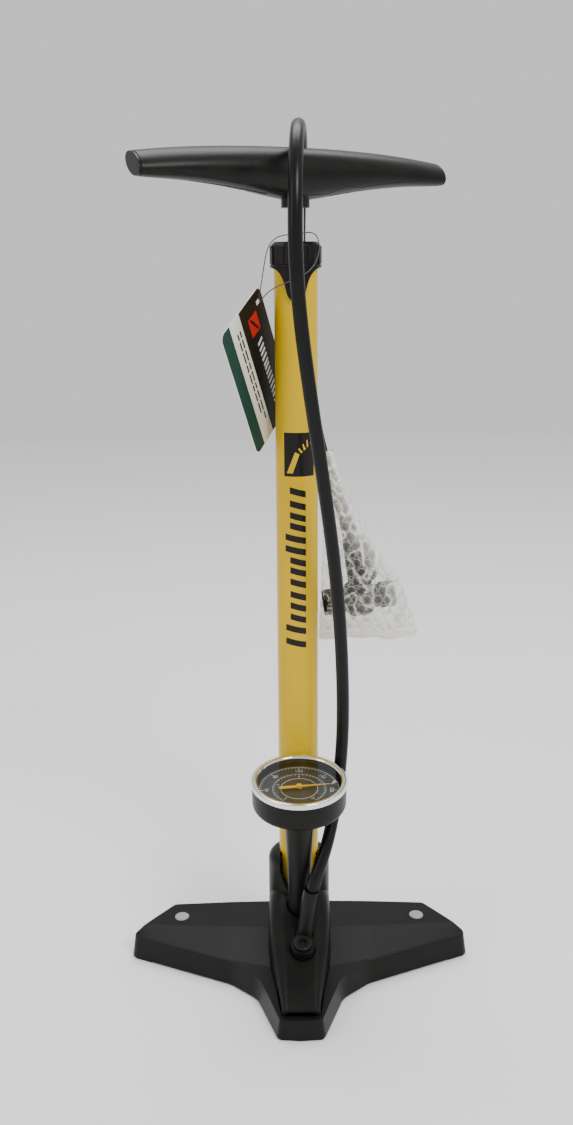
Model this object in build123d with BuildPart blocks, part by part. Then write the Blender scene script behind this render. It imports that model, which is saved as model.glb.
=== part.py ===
from build123d import *

import os
from math import cos, radians, sin, tan

os.makedirs("parts", exist_ok=True)

# Floor bicycle pump, in millimetres. +Z is up and the barrel stands on the Z axis. The front of
# the pump, with its toe, gauge and hose fitting, faces -Y, and the user's feet go on the two wings.

# ---------------------------------------------------------------------------
# Driving dimensions
# ---------------------------------------------------------------------------
RUN = 0.05  # radial clearance of a running fit
SEAT = 0.03  # gap between pieces that are pressed or screwed together

BARREL_R = 16.0
BARREL_WALL = 1.5
BARREL_BASE_Z = 34.0
BARREL_TOP_Z = 568.0
BORE_R = BARREL_R - BARREL_WALL

ROD_R = 6.0
ROD_WALL = 1.5
ROD_FOOT_Z = 70.0
ROD_TOP_Z = 634.0
STROKE = 470.0

FOOT_T = 1.5
SHELL_T = 3.0
BASE_HALF_WIDTH = 145.0
BASE_REAR_Y = 33.0
TOE_Y = -120.5
BASE_DRAFT = 8.0
HUMP_FLOOR_Z = 14.0
NACELLE_R = 25.0
NACELLE_TOP_Z = 96.0

GAUGE_CENTRE = (0.0, -56.0, 183.5)
GAUGE_TILT = 7.0
GAUGE_R = 36.8
NEEDLE_TURN = 270.0

HANDLE_HALF = 124.5
HANDLE_YAW = 29.0
# where the handle's two mouldings meet, as distance from the middle and height
HANDLE_SPLIT = [(118, 627.5), (62, 621.5), (50, 619.5), (34, 619.5), (20, 614), (0, 613)]
SPLIT_FLAT_Z = 619.5

HOSE_R = 5.0
HOSE_BORE_R = 2.5

HEAD_CENTRE = (50.0, 30.0, 303.0)
HEAD_LEAN = 8.0

pieces = {}

# ---------------------------------------------------------------------------
# Base: a winged shell, its bottom plate, rubber feet and wing plugs
# ---------------------------------------------------------------------------
# floor outline of the right half, from the toe round to the rear middle
OUTLINE = [
    (0, TOE_Y),
    (17.5, -119),
    (34, -70),
    (56, -50),
    (BASE_HALF_WIDTH, -8),
    (109, BASE_REAR_Y),
    (0, BASE_REAR_Y),
]
# corner radii at the inner points of OUTLINE
OUTLINE_R = [5, 22, 22, 7, 9]

# top surface at a station X: rear height, soft crease (Y, Z) and front crease (Y, Z)
TOP_STATIONS = [
    (0, 30.0, (-13, 29.0), (-62, 20.5)),
    (60, 29.0, (-7, 27.5), (-43, 20.0)),
    (128, 27.0, (3, 23.5), (-11, 19.5)),
    (150, 26.5, (6, 22.0), (1, 19.0)),
]
TOP_REAR_Y = 45
TOP_TOE = (-130, 15.4)


def base_outline(inset, plane):
    """The base's floor outline on a plane, moved inwards by inset."""
    with BuildSketch(plane) as outline:
        with BuildLine():
            right = FilletPolyline(*OUTLINE, radius=OUTLINE_R)
            mirror(right, about=Plane.YZ)
        make_face()
        if inset:
            offset(amount=-inset, kind=Kind.INTERSECTION)
    return outline.sketch


def base_block(inset, drop, floor_z):
    """Everything under the base's top surface and inside its walls, down to floor_z."""
    with BuildPart() as walls:
        add(base_outline(inset, Plane.XY.offset(floor_z)))
        extrude(amount=40, taper=BASE_DRAFT)
    mirrored = [(-x, *rest) for x, *rest in reversed(TOP_STATIONS[1:])]
    with BuildPart() as under_top:
        for x, rear_z, soft, front in mirrored + TOP_STATIONS:
            station = Plane(origin=(x, 0, 0), x_dir=(0, 1, 0), z_dir=(1, 0, 0))
            with BuildSketch(station):
                with BuildLine():
                    Polyline(
                        (TOP_REAR_Y, -5),
                        (TOP_REAR_Y, rear_z - drop),
                        (soft[0], soft[1] - drop),
                        (front[0], front[1] - drop),
                        (TOP_TOE[0], TOP_TOE[1] - drop),
                        (TOP_TOE[0], -5),
                        close=True,
                    )
                make_face()
        loft(ruled=True)
    return walls.part & under_top.part


def hump_outline(gap, plane):
    """Plan of the hump that covers the valve block, widened by gap."""
    with BuildSketch(plane) as plan:
        Circle(NACELLE_R)
        with BuildLine():
            Polyline(
                (-25, 0), (-25, -35), (-23.3, -55), (-19, -80), (-14.7, -112),
                (14.7, -112), (19, -80), (23.3, -55), (25, -35), (25, 0), close=True,
            )
        make_face()
        offset(amount=gap, kind=Kind.INTERSECTION)
    return plan.sketch


SHELL_POSTS = [(-100, -8), (100, -8), (-48, 12), (48, 12)]
COVER_POST = (0, -93)
POST_R = 4.5
SCREW_R = 1.6
PLATE_TOP_Z = 4.0
PLUG_XY = [(-100, 11), (100, 11)]
PLUG_R = 6.0
HUMP_GAP = 0.15

# screw posts and stiffening ribs, which are cut off just inside the shell
with BuildPart() as shell_posts:
    with BuildSketch(Plane.XY.offset(PLATE_TOP_Z + SEAT)):
        with Locations(*SHELL_POSTS):
            Circle(POST_R)
        for x in (-72, 72):
            with Locations((x, 0)):
                Rectangle(2.4, 200)
    extrude(amount=40)

with BuildPart() as base_shell:
    add(base_block(0, 0, FOOT_T))
    add(base_block(SHELL_T, SHELL_T, FOOT_T), mode=Mode.SUBTRACT)
    add(shell_posts.part & base_block(1, 1, FOOT_T))
    with BuildSketch(Plane.XY.offset(PLATE_TOP_Z)):
        with Locations(*SHELL_POSTS):
            Circle(SCREW_R)
    extrude(amount=12, mode=Mode.SUBTRACT)
    with BuildSketch(Plane.XY):
        with Locations(*PLUG_XY):
            Circle(PLUG_R + SEAT)
    extrude(amount=60, mode=Mode.SUBTRACT)
    add(hump_outline(HUMP_GAP, Plane.XY.offset(HUMP_FLOOR_Z - 1)))
    extrude(amount=40, dir=(0, 0, 1), mode=Mode.SUBTRACT)
pieces["base_shell"] = base_shell

with BuildPart() as base_plate:
    with BuildSketch(Plane.XY.offset(FOOT_T)):
        add(base_outline(SHELL_T + 0.8, Plane.XY))
        with Locations(*SHELL_POSTS, COVER_POST):
            Circle(SCREW_R + 0.1, mode=Mode.SUBTRACT)
    extrude(amount=PLATE_TOP_Z - FOOT_T)
    with BuildSketch(Plane.XY.offset(FOOT_T)):
        with Locations(*SHELL_POSTS, COVER_POST):
            Circle(3.3)
    extrude(amount=1.2, mode=Mode.SUBTRACT)
pieces["base_plate"] = base_plate

with BuildPart() as base_screws:
    with BuildSketch(Plane.XY.offset(FOOT_T + 0.05)):
        with Locations(*SHELL_POSTS, COVER_POST):
            Circle(3.1)
    extrude(amount=1.1)
    with BuildSketch(Plane.XY.offset(FOOT_T + 1.0)):
        with Locations(*SHELL_POSTS, COVER_POST):
            Circle(SCREW_R - SEAT)
    extrude(amount=10)
    with BuildSketch(Plane.XY.offset(FOOT_T)):
        with Locations(*SHELL_POSTS, COVER_POST):
            Rectangle(3.2, 0.7)
            Rectangle(0.7, 3.2)
    extrude(amount=0.7, mode=Mode.SUBTRACT)
pieces["base_screws"] = base_screws

with BuildPart() as rubber_feet:
    with BuildSketch():
        add(base_outline(1.0, Plane.XY))
        Rectangle(2 * 124, 400, mode=Mode.SUBTRACT)
    with BuildSketch():
        add(base_outline(1.0, Plane.XY))
        with Locations((0, 150 - 102)):
            Rectangle(400, 300, mode=Mode.SUBTRACT)
    with BuildSketch():
        Circle(16)
    extrude(amount=FOOT_T)
pieces["rubber_feet"] = rubber_feet

with BuildPart() as wing_plugs:
    with BuildSketch(Plane.XY.offset(22)):
        with Locations(*PLUG_XY):
            Circle(PLUG_R)
    extrude(amount=4.8)
    top_rims = wing_plugs.edges().group_by(Axis.Z)[-1]
    fillet(top_rims, 0.9)
    with BuildSketch(Plane.XY.offset(13)):
        with Locations(*PLUG_XY):
            Circle(3.2)
    extrude(amount=9)
pieces["wing_plugs"] = wing_plugs

# ---------------------------------------------------------------------------
# Hump over the valve block, with the nacelle that holds the barrel
# ---------------------------------------------------------------------------
# Y, half width, ridge height and corner radius of the hump
RIDGE = [
    (-6, 25.0, 68.0, 14.0),
    (-24, 25.0, 66.0, 14.0),
    (-38, 24.8, 58.5, 13.0),
    (-56, 23.2, 47.5, 11.5),
    (-80, 19.0, 34.5, 8.5),
    (-112, 14.7, 21.5, 4.5),
]
STEM_FOOT = Vector(0, -30.0, 56.0)
STEM_HEAD_DROP = 30.5
ELBOW_TOP = Vector(2.0, -68.0, 51.4)
ELBOW_AXIS = Vector(0, -sin(radians(20)), cos(radians(20)))
ELBOW_BACK = Vector(0.12, cos(radians(20)), sin(radians(20))).normalized()
ELBOW_RING_R = 9.5
ELBOW_RING_T = 9.0
ELBOW_REACH = 12.5
TUBE_AIM = Vector(10.4, -57.0, 101.2)
TUBE_R = 6.2
TUBE_LENGTH = 23.0
HOSE_GRIP = 10.0

gauge_up = Vector(0, -sin(radians(GAUGE_TILT)), cos(radians(GAUGE_TILT)))
gauge_origin = Vector(*GAUGE_CENTRE)
stem_head = gauge_origin - gauge_up * STEM_HEAD_DROP
stem_axis = (stem_head - STEM_FOOT).normalized()
elbow_seat = ELBOW_TOP - ELBOW_AXIS * (ELBOW_RING_T + 3.0)
elbow_mid = elbow_seat + ELBOW_AXIS * (ELBOW_RING_T / 2)
tube_root = elbow_mid + ELBOW_BACK * ELBOW_REACH
tube_axis = (TUBE_AIM - tube_root).normalized()
tube_end = tube_root + tube_axis * TUBE_LENGTH


def upright(origin, z_dir):
    """A plane at origin with the given normal, its x axis as near +X as it goes."""
    z_dir = Vector(z_dir).normalized()
    x_dir = (Vector(1, 0, 0) - z_dir * Vector(1, 0, 0).dot(z_dir)).normalized()
    return Plane(origin=origin, x_dir=x_dir, z_dir=z_dir)


def turned(plane, angle):
    """The same plane with its x axis turned by angle, in degrees, about its normal."""
    x_dir = plane.x_dir * cos(radians(angle)) + plane.y_dir * sin(radians(angle))
    return Plane(origin=plane.origin, x_dir=x_dir, z_dir=plane.z_dir)


def ridge_loft(inset):
    """The hump's ridge in front of the barrel, drawn in by inset."""
    with BuildPart() as ridge:
        for y, half, top, corner in RIDGE:
            with BuildSketch(Plane.XZ.offset(-y - (inset if y < -100 else 0) * -1)):
                with Locations((0, (top - inset) / 2)):
                    RectangleRounded(2 * (half - inset), top - inset, corner - inset / 2)
        loft()
    return ridge.part


def elbow_foot(gap):
    """Plan of the elbow's foot, from its bolt back to its upright tube."""
    foot_plane = upright(elbow_seat, ELBOW_AXIS)
    back = foot_plane.to_local_coords(elbow_seat + ELBOW_BACK * ELBOW_REACH)
    with BuildSketch(foot_plane) as foot:
        Circle(ELBOW_RING_R + gap)
        with BuildLine():
            Line((0, 0), (back.X, back.Y))
        trace(line_width=2 * (TUBE_R + gap))
        with Locations((back.X, back.Y)):
            Circle(TUBE_R + gap)
    return foot.sketch


with BuildPart() as hump_walls:
    add(hump_outline(0, Plane.XY.offset(HUMP_FLOOR_Z)))
    extrude(amount=100, dir=(0, 0, 1))

with BuildPart() as base_cover:
    with BuildSketch(Plane.XY.offset(HUMP_FLOOR_Z)):
        Circle(NACELLE_R)
    extrude(amount=NACELLE_TOP_Z - HUMP_FLOOR_Z)
    crown = base_cover.edges().filter_by(GeomType.CIRCLE).sort_by(Axis.Z)[-1]
    fillet(crown, NACELLE_R - BARREL_R - 0.6)
    # the front of the collar is open, so that the barrel shows behind the gauge stem
    with BuildSketch(Plane.XZ.offset(8)):
        with BuildLine():
            Polyline((16.5, 110), (-16.5, 110), (-15.2, 92))
            Spline((-15.2, 92), (-13, 77), (0, 62), (13, 77), (15.2, 92))
            Line((15.2, 92), (16.5, 110))
        make_face()
    extrude(amount=40, mode=Mode.SUBTRACT)
    add(ridge_loft(0))
    add(hump_walls.part, mode=Mode.INTERSECT)
    add(ridge_loft(SHELL_T), mode=Mode.SUBTRACT)
    with BuildSketch(Plane.XY):
        Circle(22)
    extrude(amount=37, mode=Mode.SUBTRACT)
    with BuildSketch(Plane.XY.offset(PLATE_TOP_Z + SEAT)):
        with Locations(COVER_POST):
            Circle(POST_R)
    extrude(amount=22)
    with BuildSketch(Plane.XY.offset(PLATE_TOP_Z)):
        with Locations(COVER_POST):
            Circle(SCREW_R)
    extrude(amount=12, mode=Mode.SUBTRACT)
    with BuildSketch(Plane.XY.offset(30)):
        Circle(BARREL_R + SEAT)
    extrude(amount=80, mode=Mode.SUBTRACT)
    with BuildSketch(upright(STEM_FOOT, stem_axis)):
        Circle(10.4)
    extrude(amount=30, both=True, mode=Mode.SUBTRACT)
    add(elbow_foot(0.6))
    extrude(amount=30, dir=ELBOW_AXIS, mode=Mode.SUBTRACT)
    with BuildSketch(upright(tube_root, tube_axis)):
        Circle(TUBE_R + 0.6)
    extrude(amount=30, mode=Mode.SUBTRACT)
    with BuildSketch(upright(elbow_seat, ELBOW_AXIS)):
        Circle(8.3)
    extrude(amount=-20, mode=Mode.SUBTRACT)
pieces["base_cover"] = base_cover

# ---------------------------------------------------------------------------
# Valve block, check valve and its plug
# ---------------------------------------------------------------------------
BLOCK_TOP_Z = 52.0
PASSAGE_Z = 26.0
PASSAGE_R = 1.8
CHAMBER_R = 3.3
CHAMBER_FOOT_Z = 22.0
SEAT_Z = 46.0
BALL_R = 3.0
BALL_Z = SEAT_Z - (BALL_R**2 - PASSAGE_R**2) ** 0.5 - 0.03
PLUG_THREAD_R = 5.0
BOLT_R = 4.0
ORING_R = 1.0

with BuildPart() as valve_block:
    with BuildSketch(Plane.XY.offset(PLATE_TOP_Z + SEAT)):
        Circle(13)
    extrude(amount=16)
    with BuildSketch(Plane.XY.offset(19)):
        Circle(20)
        with Locations((0, -35)):
            Rectangle(18, 70)
    extrude(amount=13)
    with BuildSketch(Plane.XY.offset(32)):
        Circle(20)
    extrude(amount=BARREL_BASE_Z - 32 - SEAT)
    with BuildSketch(Plane.XY.offset(33)):
        Circle(BORE_R - SEAT)
    extrude(amount=BLOCK_TOP_Z - 33)
    with BuildSketch(upright(STEM_FOOT, stem_axis)):
        Circle(6)
    extrude(amount=-30)
    with BuildSketch(upright(elbow_seat, ELBOW_AXIS)):
        Circle(7.5)
    extrude(amount=-16)
    # square off whatever the slanted bosses leave below the arm
    with BuildSketch(Plane.XY.offset(19)):
        with Locations((0, -50)):
            Rectangle(60, 60)
    extrude(amount=-16, mode=Mode.SUBTRACT)
    with BuildSketch(Plane.XY.offset(42)):
        Circle(20)
        Circle(BORE_R - 2 * ORING_R - 0.1, mode=Mode.SUBTRACT)
    extrude(amount=2 * ORING_R + 0.4, mode=Mode.SUBTRACT)
    with BuildSketch(Plane.XY):
        Circle(PLUG_THREAD_R + SEAT)
    extrude(amount=CHAMBER_FOOT_Z, mode=Mode.SUBTRACT)
    with BuildSketch(Plane.XY.offset(CHAMBER_FOOT_Z)):
        Circle(CHAMBER_R)
    extrude(amount=SEAT_Z - CHAMBER_FOOT_Z, mode=Mode.SUBTRACT)
    with BuildSketch(Plane.XY.offset(SEAT_Z)):
        Circle(PASSAGE_R)
    extrude(amount=10, mode=Mode.SUBTRACT)
    with BuildSketch(Plane.XZ):
        with Locations((0, PASSAGE_Z)):
            Circle(PASSAGE_R)
    extrude(amount=66, mode=Mode.SUBTRACT)
    with BuildSketch(upright(STEM_FOOT, stem_axis)):
        Circle(PASSAGE_R)
    extrude(amount=-31, mode=Mode.SUBTRACT)
    with BuildSketch(upright(elbow_seat, ELBOW_AXIS)):
        Circle(BOLT_R + SEAT)
    extrude(amount=-12, mode=Mode.SUBTRACT)
pieces["valve_block"] = valve_block

with BuildPart() as valve_plug:
    with BuildSketch(Plane.XY.offset(8)):
        Circle(PLUG_THREAD_R)
    extrude(amount=CHAMBER_FOOT_Z - 8)
    with BuildSketch(Plane.XY.offset(8)):
        RegularPolygon(2.6, 6)
    extrude(amount=5, mode=Mode.SUBTRACT)
pieces["valve_plug"] = valve_plug

with BuildPart() as check_ball:
    with Locations((0, 0, BALL_Z)):
        Sphere(BALL_R)
pieces["check_ball"] = check_ball

SPRING_WIRE_R = 0.3
SPRING_R = 2.4
SPRING_FOOT_Z = CHAMBER_FOOT_Z + SPRING_WIRE_R + SEAT
SPRING_TOP_Z = BALL_Z - (BALL_R**2 - SPRING_R**2) ** 0.5 - 0.45
with BuildPart() as check_spring:
    with BuildLine(Plane.XY.offset(SPRING_FOOT_Z)) as coil:
        Helix(pitch=(SPRING_TOP_Z - SPRING_FOOT_Z) / 6, height=SPRING_TOP_Z - SPRING_FOOT_Z,
              radius=SPRING_R)
    with BuildSketch(Plane(coil.line @ 0, z_dir=coil.line % 0)):
        Circle(SPRING_WIRE_R)
    sweep()
pieces["check_spring"] = check_spring

with BuildPart() as barrel_oring:
    with Locations((0, 0, 42 + ORING_R + 0.2)):
        Torus(BORE_R - ORING_R - 0.04, ORING_R)
pieces["barrel_oring"] = barrel_oring

# ---------------------------------------------------------------------------
# Barrel, its collar, screw cap and rod bush
# ---------------------------------------------------------------------------
COLLAR_FOOT_Z = 540.0
CAP_FOOT_Z = 563.0
CAP_TOP_Z = 581.0
CAP_R = 18.2
LUG_R = 19.0
NECK_R = 17.2
NECK_TOP_Z = 577.0
BUSH_R = 12.0
LUGS = 10

with BuildPart() as barrel:
    with BuildSketch(Plane.XY.offset(BARREL_BASE_Z)):
        Circle(BARREL_R)
        Circle(BORE_R, mode=Mode.SUBTRACT)
    extrude(amount=BARREL_TOP_Z - BARREL_BASE_Z)
pieces["barrel"] = barrel

with BuildPart() as barrel_collar:
    with BuildSketch(Plane.XZ):
        with BuildLine():
            Polyline(
                (BARREL_R + SEAT, COLLAR_FOOT_Z),
                (CAP_R + 0.2, COLLAR_FOOT_Z),
                (LUG_R - 0.2, CAP_FOOT_Z - 3),
                (LUG_R - 0.1, CAP_FOOT_Z),
                (NECK_R, CAP_FOOT_Z),
                (NECK_R, NECK_TOP_Z),
                (BUSH_R + SEAT, NECK_TOP_Z),
                (BUSH_R + SEAT, BARREL_TOP_Z + SEAT),
                (BARREL_R + SEAT, BARREL_TOP_Z + SEAT),
                close=True,
            )
        make_face()
    revolve(axis=Axis.Z)
    # both sides are scooped out, which leaves a tongue at the front and one at the back
    with BuildSketch(Plane.XZ) as scoops:
        with BuildLine():
            Spline((3.0, 539.8), (5.6, 542.2), (7.6, 548), (9.8, 555), (14, 561), (20.5, 562.5))
            Polyline((20.5, 562.5), (30, 562.5), (30, 530), (3.0, 530), (3.0, 539.8))
        make_face()
        mirror(about=Plane.YZ)
    extrude(amount=30, both=True, mode=Mode.SUBTRACT)
pieces["barrel_collar"] = barrel_collar

with BuildPart() as screw_cap:
    with BuildSketch(Plane.XY.offset(CAP_FOOT_Z + 0.15)):
        Circle(CAP_R)
    extrude(amount=CAP_TOP_Z - CAP_FOOT_Z - 0.15)
    with BuildSketch(Plane.XY.offset(CAP_FOOT_Z + 0.15)):
        Circle(LUG_R - 0.1)
    extrude(amount=1.8)
    with BuildSketch(Plane.XY.offset(CAP_FOOT_Z + 2.5)):
        with PolarLocations(LUG_R - 2.5, LUGS, start_angle=18):
            Rectangle(5, 5.5)
    extrude(amount=CAP_TOP_Z - CAP_FOOT_Z - 3.2)
    with BuildSketch(Plane.XZ) as crown_cut:
        with BuildLine():
            Polyline((LUG_R - 3.4, CAP_TOP_Z + 0.1), (LUG_R + 3, CAP_TOP_Z + 0.1),
                     (LUG_R + 3, CAP_TOP_Z - 6.3), close=True)
        make_face()
    revolve(axis=Axis.Z, mode=Mode.SUBTRACT)
    with BuildSketch(Plane.XY.offset(CAP_FOOT_Z)):
        Circle(NECK_R + SEAT)
    extrude(amount=NECK_TOP_Z + 1 - CAP_FOOT_Z, mode=Mode.SUBTRACT)
    with BuildSketch(Plane.XY.offset(CAP_TOP_Z - 5)):
        Circle(ROD_R + 1.0)
    extrude(amount=10, mode=Mode.SUBTRACT)
pieces["screw_cap"] = screw_cap

BUSH_FOOT_Z = 556.0
with BuildPart() as rod_bush:
    with BuildSketch(Plane.XY.offset(BUSH_FOOT_Z)):
        Circle(BUSH_R)
        Circle(ROD_R + RUN, mode=Mode.SUBTRACT)
    extrude(amount=NECK_TOP_Z + 0.9 - BUSH_FOOT_Z)
    # vent grooves let the air above the piston in and out
    with BuildSketch(Plane.XY.offset(BUSH_FOOT_Z - 1)):
        with PolarLocations(BUSH_R, 4):
            Rectangle(2, 2)
    extrude(amount=30, mode=Mode.SUBTRACT)
pieces["rod_bush"] = rod_bush

# ---------------------------------------------------------------------------
# Plunger: rod, piston, seal, nut and bumper
# ---------------------------------------------------------------------------
PISTON_FOOT_Z = 58.0
PISTON_TOP_Z = 74.0
PISTON_R = 14.2
SEAL_FOOT_Z = 63.5
SEAL_T = 4.0
SEAL_IN_R = 12.0
STUD_R = 3.5
PIN_Z = 629.0
PIN_R = 2.0

handle_x = Vector(cos(radians(HANDLE_YAW)), sin(radians(HANDLE_YAW)), 0)
handle_y = Vector(-sin(radians(HANDLE_YAW)), cos(radians(HANDLE_YAW)), 0)
pin_plane = Plane(origin=(0, 0, PIN_Z), x_dir=handle_x, z_dir=handle_y)

with BuildPart() as pump_rod:
    with BuildSketch(Plane.XY.offset(ROD_FOOT_Z)):
        Circle(ROD_R)
    extrude(amount=ROD_TOP_Z - ROD_FOOT_Z)
    with BuildSketch(Plane.XY.offset(ROD_FOOT_Z + 12)):
        Circle(ROD_R - ROD_WALL)
    extrude(amount=ROD_TOP_Z, mode=Mode.SUBTRACT)
    with BuildSketch(Plane.XY.offset(ROD_FOOT_Z)):
        Circle(STUD_R)
    extrude(amount=-(ROD_FOOT_Z - PISTON_FOOT_Z - 0.5))
    with BuildSketch(pin_plane):
        Circle(PIN_R + SEAT)
    extrude(amount=20, both=True, mode=Mode.SUBTRACT)
pieces["pump_rod"] = pump_rod

with BuildPart() as piston:
    with BuildSketch(Plane.XY.offset(PISTON_FOOT_Z)):
        Circle(PISTON_R)
    extrude(amount=PISTON_TOP_Z - PISTON_FOOT_Z)
    with BuildSketch(Plane.XY.offset(SEAL_FOOT_Z)):
        Circle(20)
        Circle(SEAL_IN_R - RUN, mode=Mode.SUBTRACT)
    extrude(amount=SEAL_T + 0.3, mode=Mode.SUBTRACT)
    with BuildSketch(Plane.XY.offset(ROD_FOOT_Z - SEAT)):
        Circle(ROD_R + SEAT)
    extrude(amount=20, mode=Mode.SUBTRACT)
    with BuildSketch(Plane.XY.offset(PISTON_FOOT_Z)):
        Circle(STUD_R + SEAT)
    extrude(amount=20, mode=Mode.SUBTRACT)
    with BuildSketch(Plane.XY.offset(PISTON_FOOT_Z)):
        RegularPolygon(6.6, 6)
    extrude(amount=4, mode=Mode.SUBTRACT)
pieces["piston"] = piston

with BuildPart() as piston_seal:
    with BuildSketch(Plane.XY.offset(SEAL_FOOT_Z + 0.15)):
        Circle(BORE_R - RUN)
        Circle(SEAL_IN_R, mode=Mode.SUBTRACT)
    extrude(amount=SEAL_T)
    # a shallow groove in the wearing face splits it into two lips
    with BuildSketch(Plane.XY.offset(SEAL_FOOT_Z + 0.15 + SEAL_T / 2 - 0.5)):
        Circle(BORE_R)
        Circle(BORE_R - 0.8, mode=Mode.SUBTRACT)
    extrude(amount=1.0, mode=Mode.SUBTRACT)
pieces["piston_seal"] = piston_seal

with BuildPart() as piston_nut:
    with BuildSketch(Plane.XY.offset(PISTON_FOOT_Z + 0.4)):
        RegularPolygon(6.4, 6)
        Circle(STUD_R + SEAT, mode=Mode.SUBTRACT)
    extrude(amount=3.5)
pieces["piston_nut"] = piston_nut

with BuildPart() as rod_bumper:
    with BuildSketch(Plane.XY.offset(PISTON_TOP_Z + SEAT)):
        Circle(10)
        Circle(ROD_R + SEAT, mode=Mode.SUBTRACT)
    extrude(amount=8)
    fillet(rod_bumper.edges().filter_by(GeomType.CIRCLE).group_by(SortBy.RADIUS)[-1], 1.2)
pieces["rod_bumper"] = rod_bumper

# ---------------------------------------------------------------------------
# Handle: two moulded halves, end caps, cross pin and screws
# ---------------------------------------------------------------------------
# distance from the middle, centre height, half width, half height and tilt of each section
HANDLE_SECTIONS = [
    (0, 627.6, 18.0, 18.2, 10),
    (24.5, 629.0, 18.0, 16.6, 14),
    (49, 630.8, 17.6, 14.0, 18),
    (73.5, 631.8, 16.8, 11.6, 21),
    (98, 631.8, 15.4, 9.4, 24),
    (HANDLE_HALF - 2, 631.0, 13.4, 7.2, 26),
]
HANDLE_WALL = 3.0
BOSS_R = 10.3
BOSS_FOOT_Z = 604.6
BOSS_TOP_Z = 635.0
HANDLE_SCREW_U = 42.0


def handle_plane(along, height, tilt):
    """Plane of a handle section. Its x axis runs across the handle, its front edge down."""
    across = handle_y * cos(radians(tilt)) + Vector(0, 0, sin(radians(tilt)))
    origin = handle_x * along + Vector(0, 0, height)
    return Plane(origin=origin, x_dir=across, z_dir=handle_x)


def handle_form(inset):
    """The whole handle as one smooth form, drawn in by inset."""
    left = [(-u, *rest) for u, *rest in reversed(HANDLE_SECTIONS[1:])]
    with BuildPart() as form:
        for u, height, half, rise, tilt in left + HANDLE_SECTIONS:
            # a hollow runs out through the ends, where the caps plug in
            along = u * 1.01 if inset else u
            with BuildSketch(handle_plane(along, height, tilt)):
                Ellipse(half - inset, rise - inset)
        loft()
    return form.part


def lower_half(gap):
    """The space that the handle's bottom moulding takes up, drawn in by gap."""
    with BuildPart() as space:
        with BuildSketch(Plane((0, 0, 0), handle_x, -handle_y)):
            with BuildLine():
                right = [(u, z - gap) for u, z in HANDLE_SPLIT]
                left = [(-u, z) for u, z in reversed(right)]
                end_u = HANDLE_SPLIT[0][0] - gap
                right[0], left[-1] = (end_u, right[0][1]), (-end_u, right[0][1])
                Polyline((-end_u, 560), (end_u, 560), *right, *left[1:], close=True)
            make_face()
        extrude(amount=40, both=True)
    return space.part


whole_handle = handle_form(0)
handle_hollow = handle_form(HANDLE_WALL)
handle_screw_spots = [tuple(handle_x * u) for u in (-HANDLE_SCREW_U, HANDLE_SCREW_U)]

with BuildPart() as handle_top:
    add(whole_handle)
    add(handle_hollow, mode=Mode.SUBTRACT)
    with BuildPart(mode=Mode.PRIVATE) as posts:
        with BuildSketch(Plane.XY.offset(SPLIT_FLAT_Z)):
            with Locations(*handle_screw_spots):
                Circle(3.6)
        extrude(amount=30)
    add(posts.part & handle_form(1))
    add(lower_half(0), mode=Mode.SUBTRACT)
    with BuildSketch(Plane.XY.offset(BOSS_FOOT_Z)):
        Circle(BOSS_R + SEAT)
    extrude(amount=BOSS_TOP_Z - BOSS_FOOT_Z + SEAT, mode=Mode.SUBTRACT)
    with BuildSketch(Plane.XY.offset(SPLIT_FLAT_Z)):
        with Locations(*handle_screw_spots):
            Circle(SCREW_R)
    extrude(amount=9, mode=Mode.SUBTRACT)
pieces["handle_top"] = handle_top

with BuildPart() as handle_bottom:
    add(whole_handle)
    add(lower_half(SEAT), mode=Mode.INTERSECT)
    add(handle_hollow, mode=Mode.SUBTRACT)
    # long finger grooves run under each half of the grip
    with BuildPart(mode=Mode.PRIVATE) as blades:
        with BuildSketch(Plane(origin=(0, 0, 560), x_dir=handle_x, z_dir=(0, 0, 1))):
            with GridLocations(112, 5.5, 2, 3):
                Rectangle(60, 1.8)
        extrude(amount=80)
    add((blades.part & whole_handle) - handle_form(1.4), mode=Mode.SUBTRACT)
    with BuildSketch(Plane.XY.offset(BOSS_FOOT_Z)):
        Circle(BOSS_R)
    extrude(amount=BOSS_TOP_Z - BOSS_FOOT_Z)
    with BuildPart(mode=Mode.PRIVATE) as screw_posts:
        with BuildSketch(Plane.XY.offset(SPLIT_FLAT_Z - SEAT)):
            with Locations(*handle_screw_spots):
                Circle(4.2)
        extrude(amount=-4.3)
    add(screw_posts.part & whole_handle)
    with BuildSketch(Plane.XY.offset(SPLIT_FLAT_Z)):
        with Locations(*handle_screw_spots):
            Circle(SCREW_R + 0.1)
    extrude(amount=-20, mode=Mode.SUBTRACT)
    with BuildSketch(Plane.XY.offset(SPLIT_FLAT_Z - 2.2)):
        with Locations(*handle_screw_spots):
            Circle(3.1)
    extrude(amount=-20, mode=Mode.SUBTRACT)
    with BuildSketch(Plane.XY.offset(600)):
        Circle(ROD_R + SEAT)
    extrude(amount=60, mode=Mode.SUBTRACT)
    with BuildSketch(pin_plane):
        Circle(PIN_R + SEAT)
    extrude(amount=20, both=True, mode=Mode.SUBTRACT)
pieces["handle_bottom"] = handle_bottom

with BuildPart() as handle_pin:
    with BuildSketch(pin_plane):
        Circle(PIN_R)
    extrude(amount=9.5, both=True)
pieces["handle_pin"] = handle_pin

with BuildPart() as handle_screws:
    with BuildSketch(Plane.XY.offset(SPLIT_FLAT_Z - 2.23)):
        with Locations(*handle_screw_spots):
            Circle(2.95)
    extrude(amount=-2.0)
    with BuildSketch(Plane.XY.offset(SPLIT_FLAT_Z - 2.3)):
        with Locations(*handle_screw_spots):
            Circle(SCREW_R - SEAT)
    extrude(amount=10)
pieces["handle_screws"] = handle_screws

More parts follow.
